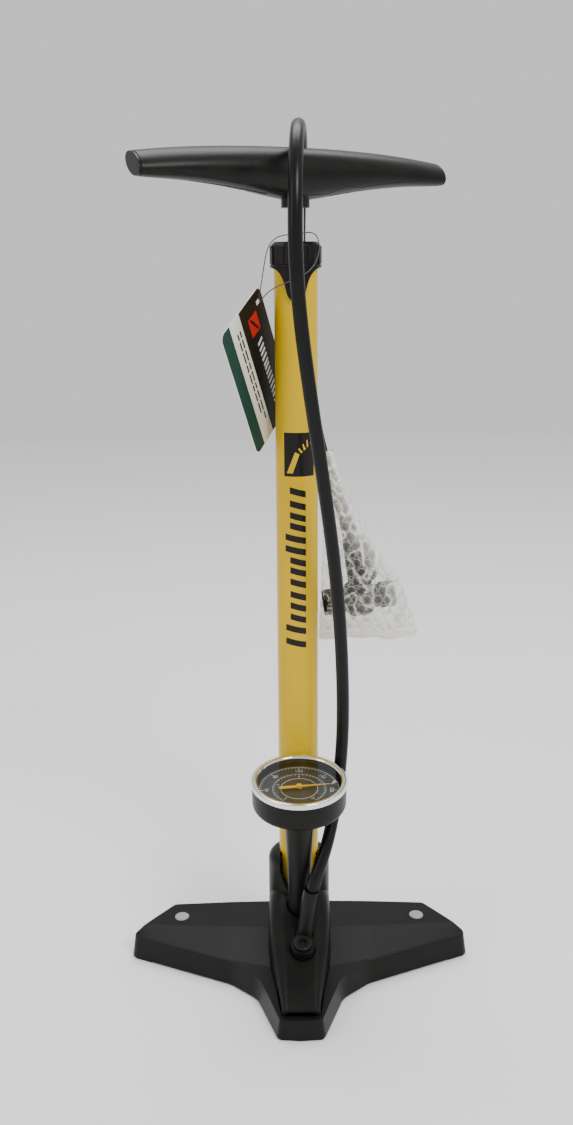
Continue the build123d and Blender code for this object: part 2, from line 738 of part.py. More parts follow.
_, end_height, end_half, end_rise, end_tilt = HANDLE_SECTIONS[-1]
with BuildPart() as handle_end_caps:
    for side in (-1, 1):
        with BuildSketch(handle_plane(side * (HANDLE_HALF - 2 + SEAT), end_height, end_tilt)):
            Ellipse(end_half - 0.3, end_rise - 0.3)
        extrude(amount=side * 2)
        with BuildSketch(handle_plane(side * (HANDLE_HALF - 2 + SEAT), end_height, end_tilt)):
            Ellipse(end_half / 3, end_rise / 4)
        extrude(amount=-side * 2.5)
pieces["handle_end_caps"] = handle_end_caps

# ---------------------------------------------------------------------------
# Gauge on its stem
# ---------------------------------------------------------------------------
gauge_plane = Plane(origin=gauge_origin, x_dir=(1, 0, 0), z_dir=gauge_up)
gauge_profile = Plane(origin=gauge_origin, x_dir=(1, 0, 0),
                      z_dir=Vector(1, 0, 0).cross(gauge_up))
gauge_axis = Axis(gauge_origin, gauge_up)
CUP_IN_R = 33.6
CUP_FLOOR = -21.0
LENS_TOP = -1.0
LENS_T = 2.2
DIAL_TOP = -8.0
DIAL_T = 0.8
ARBOR_R = 0.8
MODULE = 0.5
PINION_TEETH = 14
SECTOR_TEETH = 84
PINION_PITCH_R = MODULE * PINION_TEETH / 2
SECTOR_PITCH_R = MODULE * SECTOR_TEETH / 2
GEAR_TOP = -14.0
GEAR_T = 2.0
SECTOR_SPOT = Vector(-(PINION_PITCH_R + SECTOR_PITCH_R + 0.1), 0)
BRIDGE_TOP = -10.5
BRIDGE_T = 1.5

with BuildPart() as gauge_stem:
    with BuildSketch(upright(STEM_FOOT, stem_axis)):
        Circle(9.4)
    with BuildSketch(upright(STEM_FOOT + stem_axis * 55, stem_axis)):
        Circle(9.8)
    with BuildSketch(upright(stem_head - gauge_up * 0.05, gauge_up)):
        Circle(12.0)
    loft()
    with BuildSketch(upright(STEM_FOOT + stem_axis * SEAT, stem_axis)):
        Circle(PASSAGE_R)
    extrude(amount=120, both=True, mode=Mode.SUBTRACT)
pieces["gauge_stem"] = gauge_stem

with BuildPart() as gauge_cup:
    with BuildSketch(gauge_profile):
        with BuildLine():
            Polyline((0, -STEM_HEAD_DROP), (12.0, -STEM_HEAD_DROP))
            Spline((12.0, -STEM_HEAD_DROP), (22, -28.2), (31.5, -24.2), (36.2, -18.5),
                   tangents=((1, 0.1), (0.05, 1)))
            Polyline(
                (36.2, -18.5), (36.4, -3.3), (34.9, -3.3), (34.9, LENS_TOP - LENS_T - 1),
                (CUP_IN_R, LENS_TOP - LENS_T - 1), (CUP_IN_R, DIAL_TOP - DIAL_T),
                (CUP_IN_R - 1.6, DIAL_TOP - DIAL_T), (CUP_IN_R - 1.6, CUP_FLOOR),
                (0, CUP_FLOOR), (0, -STEM_HEAD_DROP),
            )
        make_face()
    revolve(axis=gauge_axis)
    with BuildSketch(gauge_plane.offset(-40)):
        Circle(PASSAGE_R)
    extrude(amount=22, mode=Mode.SUBTRACT)
pieces["gauge_cup"] = gauge_cup

with BuildPart() as gauge_bezel:
    with BuildSketch(gauge_profile):
        with BuildLine():
            Polyline((35.0, -3.25), (GAUGE_R, -3.25), (GAUGE_R, -0.6))
            Spline((GAUGE_R, -0.6), (35.5, 0.9), (33.6, 0.5), (32.4, -0.9),
                   tangents=((0, 1), (-0.4, -1)))
            Polyline((32.4, -0.9), (35.0, -0.9), (35.0, -3.25))
        make_face()
    revolve(axis=gauge_axis)
pieces["gauge_bezel"] = gauge_bezel

with BuildPart() as gauge_lens:
    with BuildSketch(gauge_plane.offset(LENS_TOP - LENS_T)):
        Circle(34.7)
    extrude(amount=LENS_T)
pieces["gauge_lens"] = gauge_lens

with BuildPart() as gauge_gasket:
    with BuildSketch(gauge_plane.offset(LENS_TOP - LENS_T - 0.95)):
        Circle(34.7)
        Circle(32.4, mode=Mode.SUBTRACT)
    extrude(amount=0.9)
pieces["gauge_gasket"] = gauge_gasket

with BuildPart() as gauge_dial:
    with BuildSketch(gauge_plane.offset(DIAL_TOP - DIAL_T + SEAT)):
        Circle(CUP_IN_R - 0.2)
        Circle(2.0, mode=Mode.SUBTRACT)
    extrude(amount=DIAL_T - SEAT)
pieces["gauge_dial"] = gauge_dial

NEEDLE_REACH = 24.0
NEEDLE_TAIL = 15.5
NEEDLE_Z = -5.6
NEEDLE_REST = 8.0
with BuildPart() as gauge_needle:
    with BuildSketch(turned(gauge_plane.offset(NEEDLE_Z), NEEDLE_REST)):
        with BuildLine():
            Polyline(
                (NEEDLE_REACH, 0.15), (3, 0.9), (0, 2.6), (-3, 1.4), (-NEEDLE_TAIL, 1.5),
                (-NEEDLE_TAIL, -1.5), (-3, -1.4), (0, -2.6), (3, -0.9),
                (NEEDLE_REACH, -0.15), close=True,
            )
        make_face()
    extrude(amount=-0.6)
    with BuildSketch(gauge_plane.offset(NEEDLE_Z + 0.9)):
        Circle(2.2)
    extrude(amount=-2.4)
pieces["gauge_needle"] = gauge_needle


def gear_face(teeth, first, last, backlash=0.12):
    """Closed outline of gear teeth first to last - 1, with straight flanks."""
    pitch_r = MODULE * teeth / 2
    step = 360 / teeth
    half_tip = step * (0.12 - backlash / 4)
    half_root = step * (0.33 - backlash / 2)
    tip_r = pitch_r + 0.85 * MODULE
    root_r = pitch_r - 1.15 * MODULE
    outline = []
    for tooth in range(first, last):
        middle = tooth * step
        for radius, angle in (
            (root_r, middle - half_root), (tip_r, middle - half_tip),
            (tip_r, middle + half_tip), (root_r, middle + half_root),
        ):
            turn = radians(angle)
            outline.append((radius * cos(turn), radius * sin(turn)))
    return outline


with BuildPart() as needle_pinion:
    with BuildSketch(turned(gauge_plane.offset(GEAR_TOP - GEAR_T), 180)):
        with BuildLine():
            Polyline(*gear_face(PINION_TEETH, 0, PINION_TEETH), close=True)
        make_face()
    extrude(amount=GEAR_T)
    with BuildSketch(gauge_plane.offset(GEAR_TOP - GEAR_T - 2)):
        Circle(ARBOR_R)
    extrude(amount=NEEDLE_Z - 1.5 - (GEAR_TOP - GEAR_T - 2))
pieces["needle_pinion"] = needle_pinion

SECTOR_FIRST, SECTOR_LAST = -13, 3
with BuildPart() as gauge_sector:
    sector_plane = Plane(
        origin=gauge_plane.offset(GEAR_TOP - GEAR_T + 0.2).from_local_coords(SECTOR_SPOT),
        x_dir=(1, 0, 0), z_dir=gauge_up,
    )
    with BuildSketch(turned(sector_plane, 180 / SECTOR_TEETH)):
        with BuildLine():
            Polyline((0, 0), *gear_face(SECTOR_TEETH, SECTOR_FIRST, SECTOR_LAST), close=True)
        make_face()
        with BuildLine():
            Polyline((4.5, -0.7), (17.5, -2.2), (12, -13.2), (3.2, -3.4), close=True)
        make_face(mode=Mode.SUBTRACT)
        Circle(2.6)
        Circle(1.0 + RUN, mode=Mode.SUBTRACT)
    extrude(amount=GEAR_T - 0.4)
pieces["gauge_sector"] = gauge_sector

BRIDGE_POSTS = [(7, 0), (-29.2, 0)]
with BuildPart() as gauge_bridge:
    with BuildSketch(gauge_plane.offset(BRIDGE_TOP - BRIDGE_T)):
        with Locations((-11, 0)):
            SlotOverall(40.4, 11)
        Circle(ARBOR_R + RUN, mode=Mode.SUBTRACT)
    extrude(amount=BRIDGE_T)
    with BuildSketch(gauge_plane.offset(CUP_FLOOR + SEAT)):
        with Locations(*BRIDGE_POSTS):
            Circle(1.6)
    extrude(amount=BRIDGE_TOP - BRIDGE_T - CUP_FLOOR)
    with BuildSketch(gauge_plane.offset(CUP_FLOOR + SEAT)):
        with Locations((SECTOR_SPOT.X, 0)):
            Circle(1.0)
    extrude(amount=BRIDGE_TOP - BRIDGE_T - CUP_FLOOR)
pieces["gauge_bridge"] = gauge_bridge

TUBE_MID_R = 27.5
with BuildPart() as bourdon_tube:
    with BuildLine(gauge_plane.offset(-18.35)) as curl:
        CenterArc((0, 0), TUBE_MID_R, -150, 285)
    with BuildSketch(Plane(curl.line @ 0, x_dir=gauge_up, z_dir=curl.line % 0)):
        SlotOverall(4.6, 1.8)
    sweep()
pieces["bourdon_tube"] = bourdon_tube

# ---------------------------------------------------------------------------
# Hose fitting on the hump: elbow, hollow bolt, washer and strain relief
# ---------------------------------------------------------------------------
WASHER_R = 7.2
WASHER_T = 1.0

with BuildPart() as hose_elbow:
    add(elbow_foot(0))
    extrude(amount=ELBOW_RING_T, dir=ELBOW_AXIS)
    with BuildSketch(upright(tube_root - tube_axis, tube_axis)):
        Circle(TUBE_R)
    extrude(amount=TUBE_LENGTH + 1)
    with BuildSketch(upright(tube_end, tube_axis)):
        Circle(HOSE_R + SEAT)
    extrude(amount=-HOSE_GRIP, mode=Mode.SUBTRACT)
    with BuildSketch(upright(tube_root, tube_axis)):
        Circle(PASSAGE_R)
    extrude(amount=20, mode=Mode.SUBTRACT)
    with BuildSketch(upright(elbow_mid, ELBOW_BACK)):
        Circle(PASSAGE_R)
    extrude(amount=ELBOW_REACH, mode=Mode.SUBTRACT)
    with BuildSketch(upright(elbow_seat, ELBOW_AXIS)):
        Circle(BOLT_R + SEAT)
    extrude(amount=20, mode=Mode.SUBTRACT)
    with BuildSketch(upright(elbow_seat, ELBOW_AXIS)):
        Circle(WASHER_R + SEAT)
    extrude(amount=WASHER_T, mode=Mode.SUBTRACT)
pieces["hose_elbow"] = hose_elbow

with BuildPart() as elbow_bolt:
    with BuildSketch(upright(elbow_seat + ELBOW_AXIS * (ELBOW_RING_T + SEAT), ELBOW_AXIS)):
        Circle(7.0)
    extrude(amount=2.6)
    rim = elbow_bolt.edges().filter_by(GeomType.CIRCLE).sort_by(Axis(elbow_seat, ELBOW_AXIS))[-1]
    fillet(rim, 0.8)
    with BuildSketch(upright(elbow_seat + ELBOW_AXIS * (ELBOW_RING_T + 2.63), ELBOW_AXIS)):
        RegularPolygon(3.4, 6)
    extrude(amount=-1.8, mode=Mode.SUBTRACT)
    with BuildSketch(upright(elbow_seat + ELBOW_AXIS * (ELBOW_RING_T + 0.4), ELBOW_AXIS)):
        Circle(BOLT_R)
    extrude(amount=-20)
pieces["elbow_bolt"] = elbow_bolt

with BuildPart() as elbow_washer:
    with BuildSketch(upright(elbow_seat + ELBOW_AXIS * SEAT, ELBOW_AXIS)):
        Circle(WASHER_R)
        Circle(BOLT_R + SEAT, mode=Mode.SUBTRACT)
    extrude(amount=WASHER_T - 2 * SEAT)
pieces["elbow_washer"] = elbow_washer

# ---------------------------------------------------------------------------
# Pump head on the hose's far end
# ---------------------------------------------------------------------------
head_up = Vector(-sin(radians(HEAD_LEAN)), 0, cos(radians(HEAD_LEAN)))
head_right = Vector(cos(radians(HEAD_LEAN)), 0, sin(radians(HEAD_LEAN)))
head_centre = Vector(*HEAD_CENTRE)
HEAD_TOP = 46.0
HEAD_BODY_R = 11.0
MOUTH_R = 8.6
MOUTH_ROOT = 19.0
NUT_R = 10.5
NUT_END = 29.5
SEAL_R = 6.0
PIVOT_RIGHT, PIVOT_UP = 12.0, 20.0
PIVOT_R = 1.5
LEVER_TIP = 50.0
VALVE_BORES = {-1: 4.1, 1: 3.4}


def head_point(right, up):
    """A point in the head's middle plane."""
    return head_centre + head_right * right + head_up * up


def head_flat(depth):
    """Plane across the head, its x axis along the mouths and its y axis up the stem."""
    return Plane(origin=head_centre + Vector(0, depth, 0), x_dir=head_right, z_dir=(0, -1, 0))


mouth_planes = {
    side: Plane(origin=head_centre, x_dir=(0, 1, 0), z_dir=head_right * side) for side in (-1, 1)
}

with BuildPart() as head_body:
    with BuildSketch(upright(head_point(0, -13), head_up)):
        Circle(HEAD_BODY_R)
    extrude(amount=26)
    fillet(head_body.edges().filter_by(GeomType.CIRCLE), 3)
    with BuildSketch(upright(head_point(0, 8), head_up)):
        Circle(7)
    extrude(amount=HEAD_TOP - 8)
    for plane in mouth_planes.values():
        with BuildSketch(plane):
            Circle(MOUTH_R + 1)
        extrude(amount=MOUTH_ROOT - 2)
        with BuildSketch(plane.offset(MOUTH_ROOT - 2)):
            Circle(MOUTH_R)
        extrude(amount=6)
        with BuildSketch(plane.offset(MOUTH_ROOT - 4)):
            Circle(SEAL_R + SEAT)
        extrude(amount=12, mode=Mode.SUBTRACT)
    # a lug carries the lever's pin
    with BuildSketch(head_flat(0)):
        with BuildLine():
            Polyline((0, 6), (9, 6), (15.2, 19), (15.2, PIVOT_UP))
            ThreePointArc((15.2, PIVOT_UP), (PIVOT_RIGHT + 2.97, PIVOT_UP + 2.97),
                          (PIVOT_RIGHT, PIVOT_UP + 4.2))
            Polyline((PIVOT_RIGHT, PIVOT_UP + 4.2), (0, PIVOT_UP + 4.2), (0, 6))
        make_face()
    extrude(amount=3, both=True)
    with BuildSketch(head_flat(0)):
        with Locations((PIVOT_RIGHT, PIVOT_UP)):
            Circle(PIVOT_R + SEAT)
    extrude(amount=10, both=True, mode=Mode.SUBTRACT)
    for side, plane in mouth_planes.items():
        with BuildSketch(plane):
            Circle(VALVE_BORES[side])
        extrude(amount=40, mode=Mode.SUBTRACT)
    with BuildSketch(upright(head_point(0, HEAD_TOP - HOSE_GRIP), head_up)):
        Circle(HOSE_R + SEAT)
    extrude(amount=40, mode=Mode.SUBTRACT)
    with BuildSketch(upright(head_point(0, 0), head_up)):
        Circle(PASSAGE_R)
    extrude(amount=60, mode=Mode.SUBTRACT)
pieces["head_body"] = head_body

with BuildPart() as mouth_seals:
    for side, plane in mouth_planes.items():
        with BuildSketch(plane.offset(MOUTH_ROOT - 4 + 0.1)):
            Circle(SEAL_R)
            Circle(VALVE_BORES[side] - 0.1, mode=Mode.SUBTRACT)
        extrude(amount=9.6)
pieces["mouth_seals"] = mouth_seals

with BuildPart() as mouth_nuts:
    for side, plane in mouth_planes.items():
        with BuildSketch(plane.offset(MOUTH_ROOT - 1.9)):
            Circle(NUT_R)
            with PolarLocations(NUT_R, 12):
                Circle(0.9, mode=Mode.SUBTRACT)
        extrude(amount=NUT_END - MOUTH_ROOT + 1.9)
        chamfer(
            mouth_nuts.faces().sort_by(Axis(head_centre, head_right * side))[-1].edges(), 1.0
        )
        with BuildSketch(plane.offset(MOUTH_ROOT - 2)):
            Circle(MOUTH_R + SEAT)
        extrude(amount=8, mode=Mode.SUBTRACT)
        with BuildSketch(plane):
            Circle(VALVE_BORES[side] + 0.4)
        extrude(amount=60, mode=Mode.SUBTRACT)
pieces["mouth_nuts"] = mouth_nuts

with BuildPart() as head_lever:
    for depth in (-1, 1):
        with BuildSketch(head_flat(depth * 3.25)):
            with BuildLine():
                CenterArc((PIVOT_RIGHT, PIVOT_UP), 5.0, 180, 180)
                Polyline((PIVOT_RIGHT + 5, PIVOT_UP), (PIVOT_RIGHT + 4, PIVOT_UP + 10),
                         (PIVOT_RIGHT - 3, PIVOT_UP + 10), (PIVOT_RIGHT - 5, PIVOT_UP))
            make_face()
        extrude(amount=-depth * 3.2)
    with BuildSketch(head_flat(0)):
        with BuildLine():
            Polyline((PIVOT_RIGHT - 3, PIVOT_UP + 6), (PIVOT_RIGHT + 4.4, PIVOT_UP + 6))
            Spline((PIVOT_RIGHT + 4.4, PIVOT_UP + 6), (PIVOT_RIGHT + 5.0, PIVOT_UP + 14),
                   (PIVOT_RIGHT + 2.0, LEVER_TIP - 3))
            Polyline((PIVOT_RIGHT + 2.0, LEVER_TIP - 3), (PIVOT_RIGHT - 0.4, LEVER_TIP),
                     (PIVOT_RIGHT - 2.4, LEVER_TIP - 2), (PIVOT_RIGHT - 3, PIVOT_UP + 6))
        make_face()
    extrude(amount=6.45, both=True)
    with BuildSketch(head_flat(0)):
        with BuildLine():
            CenterArc((PIVOT_RIGHT, PIVOT_UP), 7.5, 0, 360)
        make_face()
    extrude(amount=3.25, both=True, mode=Mode.SUBTRACT)
    with BuildSketch(head_flat(0)):
        with Locations((PIVOT_RIGHT, PIVOT_UP)):
            Circle(PIVOT_R + RUN)
    extrude(amount=10, both=True, mode=Mode.SUBTRACT)
pieces["head_lever"] = head_lever

with BuildPart() as lever_pin:
    with BuildSketch(head_flat(0)):
        with Locations((PIVOT_RIGHT, PIVOT_UP)):
            Circle(PIVOT_R)
    extrude(amount=6.6, both=True)
pieces["lever_pin"] = lever_pin

# ---------------------------------------------------------------------------
# Hose: from the elbow, up past the gauge, over the handle and down to the head
# ---------------------------------------------------------------------------
ELBOW_SLEEVE = 18.0
HEAD_SLEEVE = 18.0
SLEEVE_R = HOSE_R + 1.4
HOSE_ROUTE = [
    tuple(tube_end - tube_axis * (HOSE_GRIP - 0.3)),
    tuple(tube_end + tube_axis * ELBOW_SLEEVE),
    (20.9, -46.0, 118.5),
    (28.4, -30.0, 145.0),
    (33.6, -20.5, 180.0),
    (35.5, -20.0, 221.5),
    (33.3, -28.0, 286.0),
    (27.7, -38.0, 348.0),
    (19.1, -49.0, 411.0),
    (9.6, -60.0, 473.0),
    (1.7, -69.0, 532.0),
    (-1.1, -75.5, 578.0),
    (-0.6, -74.0, 613.6),
    (0.2, -57.4, 642.4),
    (1.6, -28.6, 659.0),
    (3.6, 4.6, 659.0),
    (4.6, 33.4, 642.4),
    (3.6, 50.0, 613.6),
    (3.0, 53.5, 572.0),
    (4.4, 52.0, 527.0),
    (8.6, 46.0, 484.0),
    (15.0, 38.0, 441.0),
    (25.4, 31.5, 401.5),
    tuple(head_point(0, HEAD_TOP + HEAD_SLEEVE)),
    tuple(head_point(0, HEAD_TOP - HOSE_GRIP + 0.3)),
]


def cord_tube(route, radius):
    """A round cord along straight runs joined by tangent arcs; also its length and radii."""
    points = [Vector(*p) for p in route]
    legs = [b - a for a, b in zip(points, points[1:])]
    radii = []
    for before, after in zip(legs, legs[1:]):
        half_turn = radians(before.get_angle(after) / 2)
        radii.append(0.45 * min(before.length, after.length) / tan(half_turn))
    with BuildPart() as tube:
        with BuildLine() as path:
            FilletPolyline(*points, radius=radii)
        with BuildSketch(Plane(points[0], z_dir=legs[0])):
            Circle(radius)
        sweep()
    length = sum(edge.length for edge in path.line.edges())
    return tube, length, radii


hose, hose_length, hose_radii = cord_tube(HOSE_ROUTE, HOSE_R)
pieces["hose"] = hose
print("hose length", round(hose_length, 1), "radii", [round(r) for r in hose_radii])
print("hose volume", round(hose.part.volume), "section x length",
      round(hose_length * 3.14159265 * HOSE_R**2))


def strain_relief(route, foot, length):
    """A rubber sleeve over the hose's first stretch of route, starting at foot."""
    outer, *_ = cord_tube(route, SLEEVE_R)
    inner, *_ = cord_tube(route, HOSE_R + SEAT)
    along = (Vector(*route[1]) - Vector(*route[0])).normalized()
    with BuildPart() as sleeve:
        add(outer.part)
        add(inner.part, mode=Mode.SUBTRACT)
        with BuildSketch(Plane(origin=foot + along * SEAT, z_dir=along)):
            Rectangle(60, 60)
        extrude(amount=-40, mode=Mode.SUBTRACT)
        with BuildSketch(Plane(origin=foot + along * length, z_dir=along)):
            Rectangle(200, 200)
        extrude(amount=90, mode=Mode.SUBTRACT)
    return sleeve


hose_sleeve = strain_relief(HOSE_ROUTE[:3], tube_end, ELBOW_SLEEVE)
pieces["hose_sleeve"] = hose_sleeve
head_sleeve = strain_relief(HOSE_ROUTE[:-4:-1], head_point(0, HEAD_TOP), HEAD_SLEEVE)
pieces["head_sleeve"] = head_sleeve

# ---------------------------------------------------------------------------
# Swing tag, its nylon string and the wrap round the pump head
# ---------------------------------------------------------------------------
TAG_W, TAG_H, TAG_T = 68.0, 104.0, 0.8
TAG_YAW = 63.8
TAG_CORNER = Vector(-27.2, -5.0, 550.8)
TAG_DOWN = Vector(23.3, 47.2, -89.3).normalized()
tag_side = Vector(-26.0, -52.7, -34.7)
tag_side = (tag_side - TAG_DOWN * tag_side.dot(TAG_DOWN)).normalized()
tag_plane = Plane(origin=TAG_CORNER, x_dir=tag_side, z_dir=tag_side.cross(TAG_DOWN))
TAG_HOLE = (8.0, 9.0)

with BuildPart() as swing_tag:
    with BuildSketch(tag_plane):
        with Locations((TAG_W / 2, TAG_H / 2)):
            RectangleRounded(TAG_W, TAG_H, 6)
        with Locations(TAG_HOLE):
            SlotOverall(5, 2.4, rotation=45, mode=Mode.SUBTRACT)
    extrude(amount=TAG_T / 2, both=True)
pieces["swing_tag"] = swing_tag

STRING_R = 0.4
tag_hole = tag_plane.from_local_coords(Vector(*TAG_HOLE))
STRING_ROUTE = [
    tuple(tag_hole + Vector(1.0, -0.6, 1.0)),
    (-25.0, -9.0, 552.0),
    (-22.8, -8.0, 566.0),
    (-20.4, -4.5, 577.0),
    (-15.5, 1.0, 583.6),
    (-8.5, 7.5, 586.0),
    (1.0, 10.0, 587.0),
    (9.5, 6.5, 588.0),
    (14.5, -1.5, 586.5),
    (17.2, -9.0, 580.0),
    (16.0, -14.5, 570.0),
    (11.5, -18.8, 562.0),
    (3.5, -21.5, 556.5),
    (-7.0, -21.5, 552.5),
    (-15.5, -17.0, 549.0),
    (-21.5, -11.5, 545.0),
    tuple(tag_hole + Vector(1.4, -2.2, -0.6)),
]
tag_string, string_length, string_radii = cord_tube(STRING_ROUTE, STRING_R)
pieces["tag_string"] = tag_string
print("string length", round(string_length, 1), "radii", [round(r, 1) for r in string_radii])

WRAP_Y = 30.0
WRAP_HALF = 17.0
WRAP_WALL = 1.0
WRAP_OUTLINE = [
    (19.5, 424), (29, 423), (38, 397), (46, 380), (57, 359), (70, 336), (84, 319), (92, 302),
    (100, 277), (97, 272), (60, 270), (16.5, 268), (17.5, 300), (18.5, 350), (18.5, 400),
]


def wrap_bag(inset):
    """The loose bag round the pump head, drawn in by inset."""
    with BuildPart() as bag:
        with BuildSketch(Plane.XZ.offset(-WRAP_Y)):
            with BuildLine():
                Polyline(*WRAP_OUTLINE, close=True)
            make_face()
            offset(amount=-inset, kind=Kind.INTERSECTION)
        extrude(amount=WRAP_HALF - inset, both=True)
    return bag.part


with BuildPart() as head_wrap:
    add(wrap_bag(0))
    add(wrap_bag(WRAP_WALL), mode=Mode.SUBTRACT)
    # the open neck that the hose comes in by
    with BuildSketch(Plane.XY.offset(394)):
        with Locations((24, 36)):
            Rectangle(60, 22)
    extrude(amount=60, mode=Mode.SUBTRACT)
pieces["head_wrap"] = head_wrap

# ---------------------------------------------------------------------------
# Export
# ---------------------------------------------------------------------------
for name, piece in pieces.items():
    piece.part.label = name
    export_step(piece.part, f"parts/{name}.step")
print("pivot of the lever", tuple(head_point(PIVOT_RIGHT, PIVOT_UP)))
print("gauge sector pivot", tuple(gauge_plane.from_local_coords(SECTOR_SPOT)))
print("nodes", len(pieces))
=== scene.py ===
"""The looks of a floor pump for bicycle tyres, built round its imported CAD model. Lengths are in metres."""
from math import asin, cos, hypot, pi, radians, sin

import bpy
from mathutils import Matrix, Vector, noise


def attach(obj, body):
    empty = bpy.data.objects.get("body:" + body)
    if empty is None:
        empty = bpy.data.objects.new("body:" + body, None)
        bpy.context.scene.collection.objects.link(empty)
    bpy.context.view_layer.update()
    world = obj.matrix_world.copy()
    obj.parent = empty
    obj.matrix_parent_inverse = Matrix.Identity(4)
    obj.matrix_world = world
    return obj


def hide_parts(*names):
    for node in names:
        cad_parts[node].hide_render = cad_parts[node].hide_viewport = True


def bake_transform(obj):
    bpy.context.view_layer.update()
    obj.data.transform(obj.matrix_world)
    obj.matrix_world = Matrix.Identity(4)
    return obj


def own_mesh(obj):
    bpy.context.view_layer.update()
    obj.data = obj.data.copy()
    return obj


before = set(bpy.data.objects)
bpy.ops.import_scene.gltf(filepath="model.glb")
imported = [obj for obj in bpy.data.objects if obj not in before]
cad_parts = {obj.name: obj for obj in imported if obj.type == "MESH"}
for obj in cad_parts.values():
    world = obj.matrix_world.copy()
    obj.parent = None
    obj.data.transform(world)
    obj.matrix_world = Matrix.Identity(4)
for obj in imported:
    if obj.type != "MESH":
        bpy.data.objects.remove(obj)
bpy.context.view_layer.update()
MM = 0.001

# ---------------------------------------------------------------------------
# Materials
# ---------------------------------------------------------------------------


def surface(name, colour, rough, metallic=0.0, tint=0.12, scale=60.0, bump=0.0, bump_scale=900.0,
            rough_spread=0.06, coat=0.0, edge=0.0, warm=None, sheen=0.5):
    """A procedural finish: cloudy colour and roughness, an optional fine grain and softened edges."""
    material = bpy.data.materials.new(name)
    material.use_nodes = True
    tree = material.node_tree
    shader = tree.nodes["Principled BSDF"]
    shader.inputs["Metallic"].default_value = metallic
    shader.inputs["Coat Weight"].default_value = coat
    shader.inputs["Coat Roughness"].default_value = 0.06
    shader.inputs["Specular IOR Level"].default_value = sheen
    place = tree.nodes.new("ShaderNodeTexCoord")
    clouds = tree.nodes.new("ShaderNodeTexNoise")
    clouds.inputs["Scale"].default_value = scale
    clouds.inputs["Detail"].default_value = 4.0
    tree.links.new(place.outputs["Object"], clouds.inputs["Vector"])
    ramp = tree.nodes.new("ShaderNodeValToRGB")
    ramp.color_ramp.elements[0].position = 0.3
    ramp.color_ramp.elements[1].position = 0.7
    ramp.color_ramp.elements[0].color = (*(c * (1 - tint) for c in colour), 1)
    ramp.color_ramp.elements[1].color = (*(warm or [min(c * (1 + tint), 1.0) for c in colour]), 1)
    tree.links.new(clouds.outputs["Fac"], ramp.inputs["Fac"])
    tree.links.new(ramp.outputs["Color"], shader.inputs["Base Color"])
    gloss = tree.nodes.new("ShaderNodeMapRange")
    gloss.inputs["To Min"].default_value = max(rough - rough_spread, 0.02)
    gloss.inputs["To Max"].default_value = rough + rough_spread
    tree.links.new(clouds.outputs["Fac"], gloss.inputs["Value"])
    tree.links.new(gloss.outputs["Result"], shader.inputs["Roughness"])
    normal = None
    if edge:
        soft = tree.nodes.new("ShaderNodeBevel")
        soft.samples = 4
        soft.inputs["Radius"].default_value = edge
        normal = soft.outputs["Normal"]
    if bump:
        grain = tree.nodes.new("ShaderNodeTexNoise")
        grain.inputs["Scale"].default_value = bump_scale
        grain.inputs["Detail"].default_value = 3.0
        tree.links.new(place.outputs["Object"], grain.inputs["Vector"])
        relief = tree.nodes.new("ShaderNodeBump")
        relief.inputs["Strength"].default_value = bump
        relief.inputs["Distance"].default_value = 0.0002
        tree.links.new(grain.outputs["Fac"], relief.inputs["Height"])
        if normal:
            tree.links.new(normal, relief.inputs["Normal"])
        normal = relief.outputs["Normal"]
    if normal:
        tree.links.new(normal, shader.inputs["Normal"])
    return material


def clear_lens():
    """Thin clear acrylic that mostly lets light straight through."""
    material = surface("clear_lens", (0.95, 0.97, 0.98), 0.04, rough_spread=0.02, tint=0.02)
    tree = material.node_tree
    shine = tree.nodes["Principled BSDF"]
    through = tree.nodes.new("ShaderNodeBsdfTransparent")
    through.inputs["Color"].default_value = (0.93, 0.95, 0.95, 1)
    rim = tree.nodes.new("ShaderNodeFresnel")
    rim.inputs["IOR"].default_value = 1.4
    shine.inputs["Metallic"].default_value = 1.0
    # light leaving the sheet's far side passes straight on
    side = tree.nodes.new("ShaderNodeNewGeometry")
    outward = tree.nodes.new("ShaderNodeMath")
    outward.operation = "SUBTRACT"
    outward.inputs[0].default_value = 1.0
    tree.links.new(side.outputs["Backfacing"], outward.inputs[1])
    share = tree.nodes.new("ShaderNodeMath")
    share.operation = "MULTIPLY"
    tree.links.new(rim.outputs["Fac"], share.inputs[0])
    tree.links.new(outward.outputs["Value"], share.inputs[1])
    mix = tree.nodes.new("ShaderNodeMixShader")
    tree.links.new(share.outputs["Value"], mix.inputs["Fac"])
    tree.links.new(through.outputs["BSDF"], mix.inputs[1])
    tree.links.new(shine.outputs["BSDF"], mix.inputs[2])
    tree.links.new(mix.outputs["Shader"], tree.nodes["Material Output"].inputs["Surface"])
    return material


def bubble_film():
    """Clear packing film: see-through, with pale cloudy patches where it is creased and painted sheen on its
    bubble rims and turned edges.
    """
    material = surface("bubble_film", (0.88, 0.87, 0.82), 0.14, rough_spread=0.06, scale=35, tint=0.1,
                       bump=0.6, bump_scale=160)
    tree = material.node_tree
    shine = tree.nodes["Principled BSDF"]
    through = tree.nodes.new("ShaderNodeBsdfTransparent")
    through.inputs["Color"].default_value = (0.97, 0.97, 0.97, 1)
    # how pale and opaque each point is: the film's own cloudiness in creases plus painted sheen on bubble
    # rims, the bag's right-hand edge and its hem
    cloud_and_sheen = tree.nodes.new("ShaderNodeAttribute")
    cloud_and_sheen.attribute_name = "cloud_and_sheen"
    mix = tree.nodes.new("ShaderNodeMixShader")
    tree.links.new(cloud_and_sheen.outputs["Fac"], mix.inputs["Fac"])
    tree.links.new(through.outputs["BSDF"], mix.inputs[1])
    tree.links.new(shine.outputs["BSDF"], mix.inputs[2])
    tree.links.new(mix.outputs["Shader"], tree.nodes["Material Output"].inputs["Surface"])
    return material


